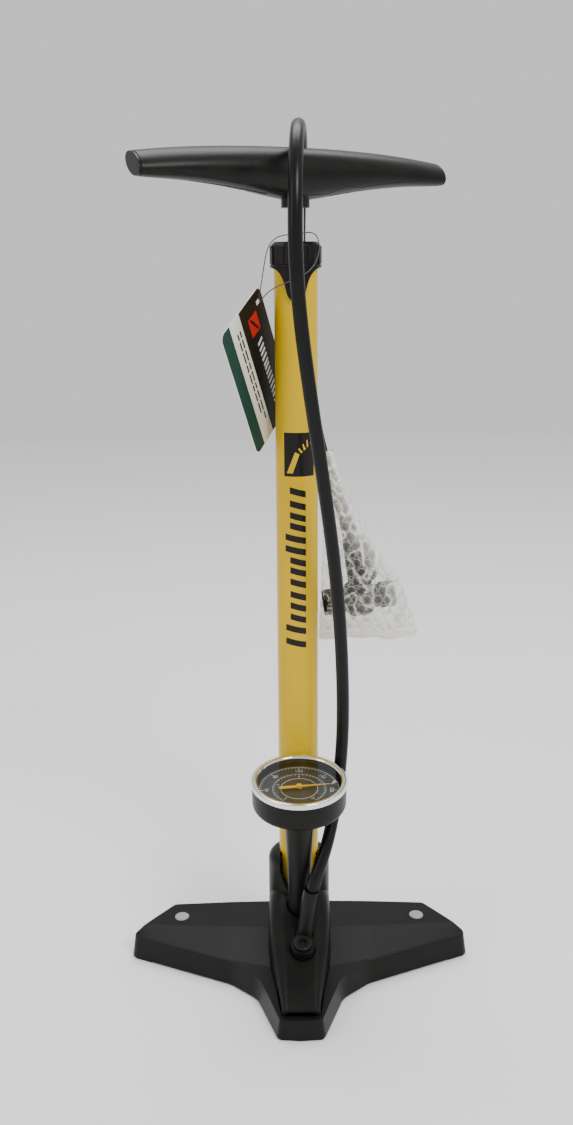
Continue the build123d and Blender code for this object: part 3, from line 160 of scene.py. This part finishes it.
FINISHES = {
    "black_moulding": surface("black_moulding", (0.0045, 0.0042, 0.004), 0.38, bump=0.25, edge=0.0008,
                              warm=(0.0065, 0.0058, 0.005), sheen=0.17),
    "handle_plastic": surface("handle_plastic", (0.0045, 0.0042, 0.004), 0.34, bump=0.3, edge=0.001,
                              warm=(0.007, 0.0062, 0.0052), sheen=0.19),
    "grey_plastic": surface("grey_plastic", (0.30, 0.32, 0.34), 0.4, bump=0.1, edge=0.0005),
    "white_plastic": surface("white_plastic", (0.80, 0.80, 0.78), 0.4, bump=0.1),
    "yellow_paint": surface("yellow_paint", (0.60, 0.385, 0.0), 0.25, tint=0.03, scale=25, coat=0.0,
                            rough_spread=0.04, sheen=0.2),
    "black_rubber": surface("black_rubber", (0.010, 0.010, 0.010), 0.7, bump=0.4, edge=0.0005, sheen=0.25),
    "hose_rubber": surface("hose_rubber", (0.0032, 0.0031, 0.0031), 0.31, bump=0.15, scale=120, sheen=0.2),
    "chrome": surface("chrome", (0.82, 0.82, 0.83), 0.09, metallic=1.0, tint=0.04, rough_spread=0.03),
    "steel": surface("steel", (0.60, 0.60, 0.61), 0.22, metallic=1.0, tint=0.06, rough_spread=0.06),
    "spring_steel": surface("spring_steel", (0.48, 0.48, 0.50), 0.3, metallic=1.0),
    "brass": surface("brass", (0.72, 0.52, 0.22), 0.28, metallic=1.0),
    "aluminium": surface("aluminium", (0.72, 0.73, 0.74), 0.34, metallic=1.0),
    "clear_lens": clear_lens(),
    "dial_card": surface("dial_card", (0.022, 0.021, 0.020), 0.5, bump=0.1, scale=90),
    "needle_yellow": surface("needle_yellow", (0.88, 0.44, 0.015), 0.35, tint=0.05),
    "tag_card": surface("tag_card", (0.74, 0.72, 0.62), 0.5, tint=0.04, bump=0.1),
    "nylon": surface("nylon", (0.05, 0.05, 0.05), 0.3, tint=0.1),
    "bubble_film": bubble_film(),
}
PRINTS = {
    "mark_black": surface("mark_black", (0.006, 0.005, 0.004), 0.3, tint=0.05, sheen=0.25),
    "blackened": surface("blackened", (0.02, 0.019, 0.018), 0.34, metallic=0.5, sheen=0.3),
    "mark_yellow": surface("mark_yellow", (0.60, 0.385, 0.0), 0.25, tint=0.03, sheen=0.3),
    "dial_grey": surface("dial_grey", (0.52, 0.50, 0.44), 0.5, tint=0.1),
    "dial_bright": surface("dial_bright", (0.62, 0.60, 0.50), 0.45, tint=0.08),
    "card_black": surface("card_black", (0.006, 0.006, 0.007), 0.4, tint=0.1, sheen=0.2),
    "card_green": surface("card_green", (0.003, 0.042, 0.034), 0.45, tint=0.1, sheen=0.2),
    "card_red": surface("card_red", (0.50, 0.010, 0.008), 0.4, tint=0.08, sheen=0.25),
    "card_white": surface("card_white", (0.80, 0.79, 0.76), 0.45, tint=0.04),
}
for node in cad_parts.values():
    for at, old in enumerate(node.data.materials):
        node.data.materials[at] = FINISHES[old.name.split(".")[0]]
# the elbow's bolt is drawn blackened where the record has it as steel
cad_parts["elbow_bolt"].data.materials[0] = PRINTS["blackened"]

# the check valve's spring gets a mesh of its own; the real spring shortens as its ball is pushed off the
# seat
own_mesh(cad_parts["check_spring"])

# ---------------------------------------------------------------------------
# Mesh helpers
# ---------------------------------------------------------------------------


def piece(name, points, faces, material, body="stand", slot=None, smooth=False):
    """A mesh piece that rides on a CAD body."""
    mesh = bpy.data.meshes.new(name)
    mesh.from_pydata([tuple(p) for p in points], [], faces)
    mesh.materials.append(material)
    for face in mesh.polygons:
        face.use_smooth = smooth
    mesh.update()
    if smooth:
        mesh.set_sharp_from_angle(angle=radians(40))
    made = bpy.data.objects.new(name, mesh)
    bpy.context.collection.objects.link(made)
    if body:
        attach(made, body)
    return made


def thin_patch(top, bottom, columns, rows):
    """Points and faces of a thin closed patch between two grids of points, row by row."""
    points = top + bottom
    offset = len(top)
    wide = columns + 1
    faces = []
    for j in range(rows):
        for i in range(columns):
            a, b = j * wide + i, j * wide + i + 1
            c, d = b + wide, a + wide
            faces.append((a, b, c, d))
            faces.append((d + offset, c + offset, b + offset, a + offset))
    rim = list(range(wide))
    rim += [j * wide + columns for j in range(1, rows + 1)]
    rim += [rows * wide + i for i in range(columns - 1, -1, -1)]
    rim += [j * wide for j in range(rows - 1, 0, -1)]
    for a, b in zip(rim, rim[1:] + rim[:1]):
        faces.append((b, a, a + offset, b + offset))
    return points, faces


def gather(parts):
    """Several (points, faces) pairs as one."""
    points, faces = [], []
    for more_points, more_faces in parts:
        start = len(points)
        points += more_points
        faces += [tuple(start + k for k in face) for face in more_faces]
    return points, faces


def patch_from(place, corners, depth, columns=1, rows=1):
    """A thin patch with four flat corners, put in space by place(x, y, height)."""
    (x0, y0), (x1, y1), (x2, y2), (x3, y3) = corners
    flat = []
    for j in range(rows + 1):
        v = j / rows
        for i in range(columns + 1):
            u = i / columns
            flat.append((
                (x0 * (1 - u) + x1 * u) * (1 - v) + (x3 * (1 - u) + x2 * u) * v,
                (y0 * (1 - u) + y1 * u) * (1 - v) + (y3 * (1 - u) + y2 * u) * v,
            ))
    top = [place(x, y, depth[1]) for x, y in flat]
    bottom = [place(x, y, depth[0]) for x, y in flat]
    return thin_patch(top, bottom, columns, rows)


def arc_patch(place, radius, width, start, stop, depth, steps=None):
    """A thin ring segment about the origin of place, from start to stop degrees."""
    steps = steps or max(int(abs(stop - start) / 4), 1)
    flat = []
    for r in (radius - width / 2, radius + width / 2):
        for i in range(steps + 1):
            turn = radians(start + (stop - start) * i / steps)
            flat.append((r * cos(turn), r * sin(turn)))
    top = [place(x, y, depth[1]) for x, y in flat]
    bottom = [place(x, y, depth[0]) for x, y in flat]
    return thin_patch(top, bottom, steps, 1)


# ---------------------------------------------------------------------------
# Printed marks on the barrel: a plain square badge and a column of slanted bars
# ---------------------------------------------------------------------------
BARREL_R = 16.0


def on_barrel(x, z, lift):
    """A point on the front of the barrel, x measured across it as seen from the front."""
    turn = asin(max(-1.0, min(1.0, x / BARREL_R)))
    r = BARREL_R + lift
    return Vector((r * sin(turn), -r * cos(turn), z)) * MM


# how far each layer of ink reaches below and above the paint
INK = (-0.03, 0.035)
INK_OVER = (0.0, 0.06)
BAR_T = 5.0
BAR_LEAN = 3.2
# top, height, left edge and right edge of each pair of bars
BAR_PAIRS = [
    (403, 15, -5.5, 6.5), (384, 13, -5.5, 6.5), (367, 14, -9.0, 6.5), (349, 13, -5.5, 6.5),
    (332, 15, -5.5, 6.5), (313, 14, -5.5, 6.5), (295, 16, -9.0, 6.5),
]

badge = [patch_from(on_barrel, [(-9.5, 411), (12.6, 411), (12.6, 444), (-9.5, 444)], INK, 16, 4)]
piece("barrel_badge", *gather(badge), PRINTS["mark_black"], slot="black_moulding", smooth=True)
# a plain rising stripe within the badge
stripe = [
    patch_from(on_barrel, [(-7.6, 413.5), (-3.2, 413.5), (1.6, 427.0), (-1.6, 429.0)], INK_OVER, 6, 6),
    patch_from(on_barrel, [(-1.6, 429.0), (1.6, 427.0), (10.4, 435.5), (10.4, 441.5)], INK_OVER, 10, 4),
]
piece("barrel_badge_stripe", *gather(stripe), PRINTS["mark_yellow"], slot="yellow_paint", smooth=True)
bars = []
for top, height, left, right in BAR_PAIRS:
    foot = top - height
    for low, high in ((foot, foot + BAR_T), (top - BAR_T, top)):
        corners = [(left, low), (right, low - BAR_LEAN), (right, high - BAR_LEAN), (left, high)]
        bars.append(patch_from(on_barrel, corners, INK, 10, 2))
piece("barrel_bars", *gather(bars), PRINTS["mark_black"], slot="black_moulding", smooth=True)

# ---------------------------------------------------------------------------
# Gauge dial: ticks, arcs and numbers
# ---------------------------------------------------------------------------
GAUGE_CENTRE = Vector((0, -56, 183.5))
# how far the gauge leans towards the pump's front, which faces -Y
GAUGE_TILT = radians(7)
GAUGE_UP = Vector((0, -sin(GAUGE_TILT), cos(GAUGE_TILT)))
GAUGE_BACK = Vector((0, cos(GAUGE_TILT), sin(GAUGE_TILT)))
DIAL_TOP = -8.0
# the scale runs clockwise from its first mark, in degrees
SCALE_START = 232
SCALE_SWEEP = 284
SCALE_END = SCALE_START - SCALE_SWEEP
FINE_STEPS = 54
MAJOR_EVERY = 9
INNER_STEPS = 32


def on_dial(x, y, lift):
    """A point on the dial, x to the right, y to the back and lift above its face."""
    return (GAUGE_CENTRE + Vector((x, 0, 0)) + GAUGE_BACK * y + GAUGE_UP * (DIAL_TOP + lift)) * MM


DIAL_INK = (-0.04, 0.09)
rings, ticks = [], []
rings.append(arc_patch(on_dial, 30.6, 0.5, SCALE_END, SCALE_START, DIAL_INK))
rings.append(arc_patch(on_dial, 20.5, 0.35, SCALE_END, SCALE_START, DIAL_INK))
rings.append(arc_patch(on_dial, 14.2, 0.5, 0, 360, DIAL_INK))
for i in range(FINE_STEPS + 1):
    angle = SCALE_START - SCALE_SWEEP * i / FINE_STEPS
    radius, reach, half = (28.9, 3.4, 0.8) if i % MAJOR_EVERY == 0 else (29.5, 1.9, 0.35)
    ticks.append(arc_patch(on_dial, radius, reach, angle - half, angle + half, DIAL_INK, 1))
for i in range(INNER_STEPS + 1):
    angle = SCALE_START - SCALE_SWEEP * i / INNER_STEPS
    ticks.append(arc_patch(on_dial, 19.4, 1.6, angle - 0.5, angle + 0.5, DIAL_INK, 1))
piece("dial_rings", *gather(rings), PRINTS["dial_grey"], slot="dial_card")
piece("dial_ticks", *gather(ticks), PRINTS["dial_grey"], slot="dial_card")
# a pale three-cornered patch on the dial's right, in the dial's bright grey
pale_wedge = [patch_from(on_dial, [(24.4, 5.6), (30.0, 8.8), (27.4, 12.2), (24.4, 5.6)], (-0.04, 0.12))]
piece("dial_wedge", *gather(pale_wedge), PRINTS["dial_bright"], slot="dial_card")


def number(name, text, x, y, size, turn):
    """Points and faces of raised figures on the dial, centred at x, y and turned about there."""
    lettering = bpy.data.curves.new(name + "_text", "FONT")
    lettering.body = text
    lettering.size = size
    lettering.align_x = "CENTER"
    lettering.align_y = "CENTER"
    holder = bpy.data.objects.new(name + "_text", lettering)
    bpy.context.collection.objects.link(holder)
    bpy.context.view_layer.update()
    flat = bpy.data.meshes.new_from_object(holder.evaluated_get(bpy.context.evaluated_depsgraph_get()))
    bpy.data.objects.remove(holder)
    points = []
    for lift in (0.1, -0.04):
        for v in flat.vertices:
            px = x + v.co.x * cos(turn) - v.co.y * sin(turn)
            py = y + v.co.x * sin(turn) + v.co.y * cos(turn)
            points.append(on_dial(px, py, lift))
    count = len(flat.vertices)
    faces = [tuple(f.vertices) for f in flat.polygons]
    used = {}
    for face in faces:
        for a, b in zip(face, face[1:] + face[:1]):
            used[frozenset((a, b))] = used.get(frozenset((a, b)), []) + [(a, b)]
    walls = [(b, a, a + count, b + count) for pairs in used.values() if len(pairs) == 1
             for a, b in pairs]
    backs = [tuple(k + count for k in reversed(face)) for face in faces]
    bpy.data.meshes.remove(flat)
    return points, faces + backs + walls


# name, largest step, value of a step, distance from the middle and height of the figures
SCALES = [("outer", 6, 40, 24.9, 4.4), ("inner", 4, 4, 16.9, 3.0)]
figures = []
for scale, last, step, radius, size in SCALES:
    for i in range(last + 1):
        angle = radians(SCALE_START - SCALE_SWEEP * i / last)
        x, y = radius * cos(angle), radius * sin(angle)
        figures.append(number(f"{scale}_{i}", str(step * i), x, y, size, angle - pi / 2))
piece("dial_numbers", *gather(figures), PRINTS["dial_grey"], slot="dial_card")

# ---------------------------------------------------------------------------
# Swing tag: its printed bands and plain marks
# ---------------------------------------------------------------------------
TAG_CORNER = Vector((-27.2, -5.0, 550.8))
TAG_DOWN = Vector((23.3, 47.2, -89.3)).normalized()
TAG_SIDE = Vector((-26.0, -52.7, -34.7))
TAG_SIDE = (TAG_SIDE - TAG_DOWN * TAG_SIDE.dot(TAG_DOWN)).normalized()
TAG_FACE = TAG_SIDE.cross(TAG_DOWN)
TAG_W, TAG_H, TAG_T = 68.0, 104.0, 0.8
TAG_HOLE = (8.0, 9.0)
TAG_CORNER_R = 6.0
HOLE_CLEAR = (2.8, 1.8)
EDGE_CLEAR = 0.25
BLACK_END = 37.7
GREEN_START = 54.3


def on_tag(x, y, lift):
    """A point on the tag, x across it and y down it from its top corner."""
    return (TAG_CORNER + TAG_SIDE * x + TAG_DOWN * y + TAG_FACE * lift) * MM


def tag_band(start, stop, depth):
    """One printed band down the tag, keeping clear of its rounded corners and its hole."""
    def rounded(x):
        near = TAG_CORNER_R - min(x, TAG_W - x, TAG_CORNER_R)
        return TAG_CORNER_R - (TAG_CORNER_R ** 2 - near ** 2) ** 0.5

    columns = 14
    hole_x, hole_y = TAG_HOLE
    left, right = hole_x - HOLE_CLEAR[0], hole_x + HOLE_CLEAR[0]
    above, below = hole_y - HOLE_CLEAR[1], hole_y + HOLE_CLEAR[1]
    stops = [start + (stop - start) * i / columns for i in range(columns + 1)]
    if start < hole_x:
        outside = set(round(at, 3) for at in stops if abs(at - hole_x) > HOLE_CLEAR[0])
        stops = sorted(outside | {round(left, 3), round(right, 3)})
    parts = []
    for a, b in zip(stops, stops[1:]):
        top = (EDGE_CLEAR + rounded(a), EDGE_CLEAR + rounded(b))
        foot = (TAG_H - EDGE_CLEAR - rounded(a), TAG_H - EDGE_CLEAR - rounded(b))
        spans = [(top, foot)]
        if start < hole_x and left - 0.1 <= a and b <= right + 0.1:
            spans = [(top, (above, above)), ((below, below), foot)]
        for (top_a, top_b), (foot_a, foot_b) in spans:
            corners = [(a, top_a), (b, top_b), (b, foot_b), (a, foot_a)]
            parts.append(patch_from(on_tag, corners, depth, 1, 6))
    return parts


PRINT = (TAG_T / 2 - 0.03, TAG_T / 2 + 0.06)
PRINT_OVER = (TAG_T / 2, TAG_T / 2 + 0.12)
PRINT_TOP = (TAG_T / 2, TAG_T / 2 + 0.17)
BACK_PRINT = (-TAG_T / 2 - 0.06, -TAG_T / 2 + 0.03)
black_band = tag_band(0.3, BLACK_END, PRINT)
green_band = tag_band(GREEN_START, TAG_W - 0.3, PRINT)
back_band = tag_band(GREEN_START, TAG_W - 0.3, BACK_PRINT)
piece("tag_black_band", *gather(black_band), PRINTS["card_black"], slot="tag_card")
piece("tag_green_band", *gather(green_band), PRINTS["card_green"], slot="tag_card")
piece("tag_back_band", *gather(back_band), PRINTS["card_green"], slot="tag_card")
emblem = [patch_from(on_tag, [(14, 12.5), (28.5, 12.5), (28.5, 27), (14, 27)], PRINT_OVER, 2, 2)]
piece("tag_emblem", *gather(emblem), PRINTS["card_red"], slot="tag_card")
slash = [patch_from(on_tag, [(16, 25.5), (18.4, 25.5), (26.5, 14), (23.6, 14)], PRINT_TOP)]
piece("tag_emblem_slash", *gather(slash), PRINTS["card_black"], slot="tag_card")
# start and length of each pair of strokes down the tag
STROKE_PAIRS = [(33, 7), (42, 6.5), (51, 5.5), (58.5, 6), (66.5, 6.5), (75, 6), (83, 8)]
STROKE_LEFT, STROKE_RIGHT = 16, 24
STROKE_T = 2.1
STROKE_LEAN = 1.8
tag_bars = []
for start, length in STROKE_PAIRS:
    for y in (start, start + length - STROKE_T):
        corners = [(STROKE_LEFT, y), (STROKE_RIGHT, y + STROKE_LEAN),
                   (STROKE_RIGHT, y + STROKE_LEAN + STROKE_T), (STROKE_LEFT, y + STROKE_T)]
        tag_bars.append(patch_from(on_tag, corners, PRINT_OVER))
piece("tag_bars", *gather(tag_bars), PRINTS["card_white"], slot="tag_card")
# left edge of each row of small dashes, and how far down the tag it runs
DASH_ROWS = [(41.5, 88), (45.6, 80)]
DASH_START, DASH_T, DASH_GAP = 12, 1.7, 1.8
lines = []
for x, last in DASH_ROWS:
    y = DASH_START
    count = 0
    while y < last:
        # the dashes are 5, 7, 9, 6 and 8 long, over and over
        run = 5 + (count * 7) % 5
        corners = [(x, y), (x + DASH_T, y), (x + DASH_T, y + run), (x, y + run)]
        lines.append(patch_from(on_tag, corners, PRINT_OVER))
        y += run + DASH_GAP
        count += 1
piece("tag_small_lines", *gather(lines), PRINTS["card_black"], slot="tag_card")

# ---------------------------------------------------------------------------
# Hose and tag string
# ---------------------------------------------------------------------------


def cord_piece(name, route, radius, material, sides):
    """A smooth round cord steered by the points of route, as a mesh, and the line down its middle."""
    line = bpy.data.curves.new(name + "_line", "CURVE")
    line.dimensions = "3D"
    spline = line.splines.new("NURBS")
    spline.points.add(len(route) - 1)
    for point, place in zip(spline.points, route):
        point.co = (*(Vector(place) * MM), 1)
    spline.order_u = 3
    spline.use_endpoint_u = True
    spline.resolution_u = 16
    holder = bpy.data.objects.new(name + "_line", line)
    bpy.context.collection.objects.link(holder)
    bpy.context.view_layer.update()
    bare = bpy.data.meshes.new_from_object(holder.evaluated_get(bpy.context.evaluated_depsgraph_get()))
    path = [tuple(v.co) for v in bare.vertices]
    line.bevel_depth = radius * MM
    line.bevel_resolution = sides
    line.use_fill_caps = True
    bpy.context.view_layer.update()
    mesh = bpy.data.meshes.new_from_object(holder.evaluated_get(bpy.context.evaluated_depsgraph_get()))
    bpy.data.objects.remove(holder)
    mesh.materials.clear()
    mesh.materials.append(material)
    for face in mesh.polygons:
        face.use_smooth = True
    made = bpy.data.objects.new(name, mesh)
    bpy.context.collection.objects.link(made)
    return made, path


# the route in part.py: the first two points follow from the elbow and the last two from
# the pump head, rounded here, and all the others are chosen
HOSE_ROUTE = [
    (5.218, -54.580, 61.759), (8.820, -56.262, 89.173), (20.9, -46, 118.5), (28.4, -30, 145),
    (33.6, -20.5, 180), (35.5, -20, 221.5), (33.3, -28, 286), (27.7, -38, 348), (19.1, -49, 411),
    (9.6, -60, 473), (1.7, -69, 532), (-1.1, -75.5, 578), (-0.6, -74, 613.6), (0.2, -57.4, 642.4),
    (1.6, -28.6, 659), (3.6, 4.6, 659), (4.6, 33.4, 642.4), (3.6, 50, 613.6), (3.0, 53.5, 572),
    (4.4, 52, 527), (8.6, 46, 484), (15.0, 38, 441), (25.4, 31.5, 401.5), (41.093, 30, 366.377),
    (44.948, 30, 338.947),
]
hose, hose_path = cord_piece("air_hose", HOSE_ROUTE, 5.0, FINISHES["hose_rubber"], 8)
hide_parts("hose")
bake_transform(hose)

# chosen, starting and ending beside the tag's hole
STRING_ROUTE = [
    tuple(Vector(on_tag(*TAG_HOLE, 0)) / MM + Vector((1.0, -0.6, 1.0))),
    (-25, -9, 552), (-22.8, -8, 566), (-20.4, -4.5, 577), (-15.5, 1, 583.6), (-8.5, 7.5, 586), (1, 10, 587),
    (9.5, 6.5, 588), (14.5, -1.5, 586.5), (17.2, -9, 580), (16, -14.5, 570), (11.5, -18.8, 562),
    (3.5, -21.5, 556.5), (-7, -21.5, 552.5), (-15.5, -17, 549), (-21.5, -11.5, 545),
    tuple(Vector(on_tag(*TAG_HOLE, 0)) / MM + Vector((1.4, -2.2, -0.6))),
]
string, string_path = cord_piece("tag_loop", STRING_ROUTE, 0.4, FINISHES["nylon"], 3)
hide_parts("tag_string")
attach(string, "stand")

# ---------------------------------------------------------------------------
# Bubble film bag round the pump head
# ---------------------------------------------------------------------------
BAG_Y = 30.0
BUBBLE_PITCH = 8.6
BUBBLE_ROW = BUBBLE_PITCH * 0.866
BUBBLE_R = 3.7
BUBBLE_H = 1.6
# height, left edge, right edge and half depth of the bag
BAG_LEVELS = [
    (424, 19.5, 29, 4.5), (410, 19.0, 33.5, 6.5), (397, 18.6, 38, 9), (380, 18.6, 46, 12),
    (359, 18.6, 57, 14.5), (336, 18.4, 70, 15.5), (319, 17.9, 84, 15.5), (302, 17.6, 92, 15.5),
    (286, 17.0, 97, 14.5), (277, 16.8, 100, 10), (271, 17.0, 98, 3.0), (268.6, 17.6, 96, 0.6),
]


def bag_level(z):
    """The bag's section at one height, read between the levels above."""
    for (z0, *a), (z1, *b) in zip(BAG_LEVELS, BAG_LEVELS[1:]):
        if z >= z1:
            t = (z0 - z) / (z0 - z1)
            t = t * t * (3 - 2 * t) * 0.35 + t * 0.65
            return [p + (q - p) * t for p, q in zip(a, b)]
    return list(BAG_LEVELS[-1][1:])


def bag_film():
    """A crumpled bag with rows of raised round bubbles; also how pale each point looks, from creases and
    from painted sheen on bubble rims and turned edges.
    """
    around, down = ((260, 300))
    points, faces, cloud_and_sheen = [], [], []
    top, bottom = BAG_LEVELS[0][0], BAG_LEVELS[-1][0]
    for j in range(down + 1):
        z = top + (bottom - top) * j / down
        left, right, deep = bag_level(z)
        middle, half = (left + right) / 2, (right - left) / 2
        for i in range(around):
            turn = 2 * pi * i / around
            c, s = cos(turn), sin(turn)
            x = middle + half * (abs(c) ** 0.75) * (1 if c > 0 else -1)
            y = BAG_Y + deep * (abs(s) ** 0.75) * (1 if s > 0 else -1)
            out = Vector((c / max(half, 1), s / max(deep, 1), 0)).normalized()
            fold = noise.noise(Vector((x * 0.055, y * 0.05, z * 0.045)))
            crease = abs(noise.noise(Vector((x * 0.11 + 7, y * 0.08, z * 0.09))))
            row = round(z / BUBBLE_ROW)
            u = (x + (BUBBLE_PITCH / 2 if row % 2 else 0.0)) / BUBBLE_PITCH
            away = hypot((u - round(u)) * BUBBLE_PITCH, z - row * BUBBLE_ROW) / BUBBLE_R
            on_a_face = abs(s) > 0.25
            dome = max(0.0, 1 - away ** 2) ** 0.5 if on_a_face else 0.0
            edge = min(1.0, (z - bottom) / 12.0, (top - z) / 10.0)
            shift = (2.2 * fold - 2.0 * (0.25 - crease)) * edge + BUBBLE_H * dome * edge - 2.0 * edge
            sag = 3.2 * noise.noise(Vector((x * 0.06, 3.0, 1.0))) * max(0.0, 1 - (z - bottom) / 30.0)
            points.append((Vector((x, y, z + sag)) + out * shift) * MM)
            # painted sheen: the rims of the bubbles, the bag's right-hand edge and its hem are made paler as
            # if catching the light; the creases and folds are the film's own cloudiness
            rim = max(0.0, 1 - abs(away - 0.98) * 4.5) if on_a_face else 0.0
            side = max(0.0, (x - (right - 22)) / 22) * 0.5
            hem = max(0.0, 1 - (z - bottom) / 28.0) * 0.5
            ridge = max(0.0, 1 - crease * 7) * 0.5
            cloud_and_sheen.append(min(0.94, 0.06 + 0.3 * rim + side + hem + ridge + 0.12 * max(0.0, fold)))
    for j in range(down):
        for i in range(around):
            k = (i + 1) % around
            faces.append((j * around + i, (j + 1) * around + i, (j + 1) * around + k, j * around + k))
    return points, faces, cloud_and_sheen


bag_points, bag_faces, bag_cloud_and_sheen = bag_film()
bag = piece("bubble_bag", bag_points, bag_faces, FINISHES["bubble_film"], slot="bubble_film", smooth=True)
bag.data.attributes.new("cloud_and_sheen", "FLOAT", "POINT").data.foreach_set("value", bag_cloud_and_sheen)
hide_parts("head_wrap")

# ---------------------------------------------------------------------------
# Floor, light and camera
# ---------------------------------------------------------------------------


def floor_piece():
    """A plain pale floor just below height 0."""
    size = 6.0
    steps = 12
    points = [(size * (i / steps - 0.5), size * (j / steps - 0.5), -0.0002)
              for j in range(steps + 1) for i in range(steps + 1)]
    wide = steps + 1
    faces = [(j * wide + i, j * wide + i + 1, (j + 1) * wide + i + 1, (j + 1) * wide + i)
             for j in range(steps) for i in range(steps)]
    pale = surface("floor_white", (0.93, 0.93, 0.93), 0.7, tint=0.01, scale=3)
    return piece("floor", points, faces, pale, None)


floor_piece()
world = bpy.data.worlds.new("studio")
bpy.context.scene.world = world
world.use_nodes = True
world.node_tree.nodes["Background"].inputs["Color"].default_value = (1.0, 1.0, 1.0, 1)
world.node_tree.nodes["Background"].inputs["Strength"].default_value = 0.8


def area_light(name, place, aim, width, height, power):
    """A soft rectangular lamp at place, turned towards aim."""
    lamp = bpy.data.lights.new(name, "AREA")
    lamp.shape = "RECTANGLE"
    lamp.size, lamp.size_y = width, height
    lamp.energy = power
    holder = bpy.data.objects.new(name, lamp)
    holder.location = place
    holder.rotation_euler = (Vector(aim) - Vector(place)).to_track_quat("-Z", "Y").to_euler()
    bpy.context.collection.objects.link(holder)


area_light("key", (0.9, -1.5, 1.9), (0, 0, 0.35), 0.8, 0.8, 34)
area_light("fill", (-1.4, -0.9, 1.1), (0, 0, 0.35), 0.7, 1.2, 6)
area_light("top", (0.0, 0.7, 2.0), (0, 0, 0.3), 1.4, 0.9, 22)

CAMERA_PLACE = (-0.0084, -0.866, 0.563)
CAMERA_DOWN = 14.4
CAMERA_ROLL = -0.45
lens = bpy.data.cameras.new("camera")
lens.sensor_width = 36
lens.lens = 36.77
camera = bpy.data.objects.new("camera", lens)
bpy.context.collection.objects.link(camera)
camera.matrix_world = (Matrix.Translation(CAMERA_PLACE)
                       @ Matrix.Rotation(radians(90 - CAMERA_DOWN), 4, "X")
                       @ Matrix.Rotation(radians(CAMERA_ROLL), 4, "Z"))
bpy.context.scene.camera = camera
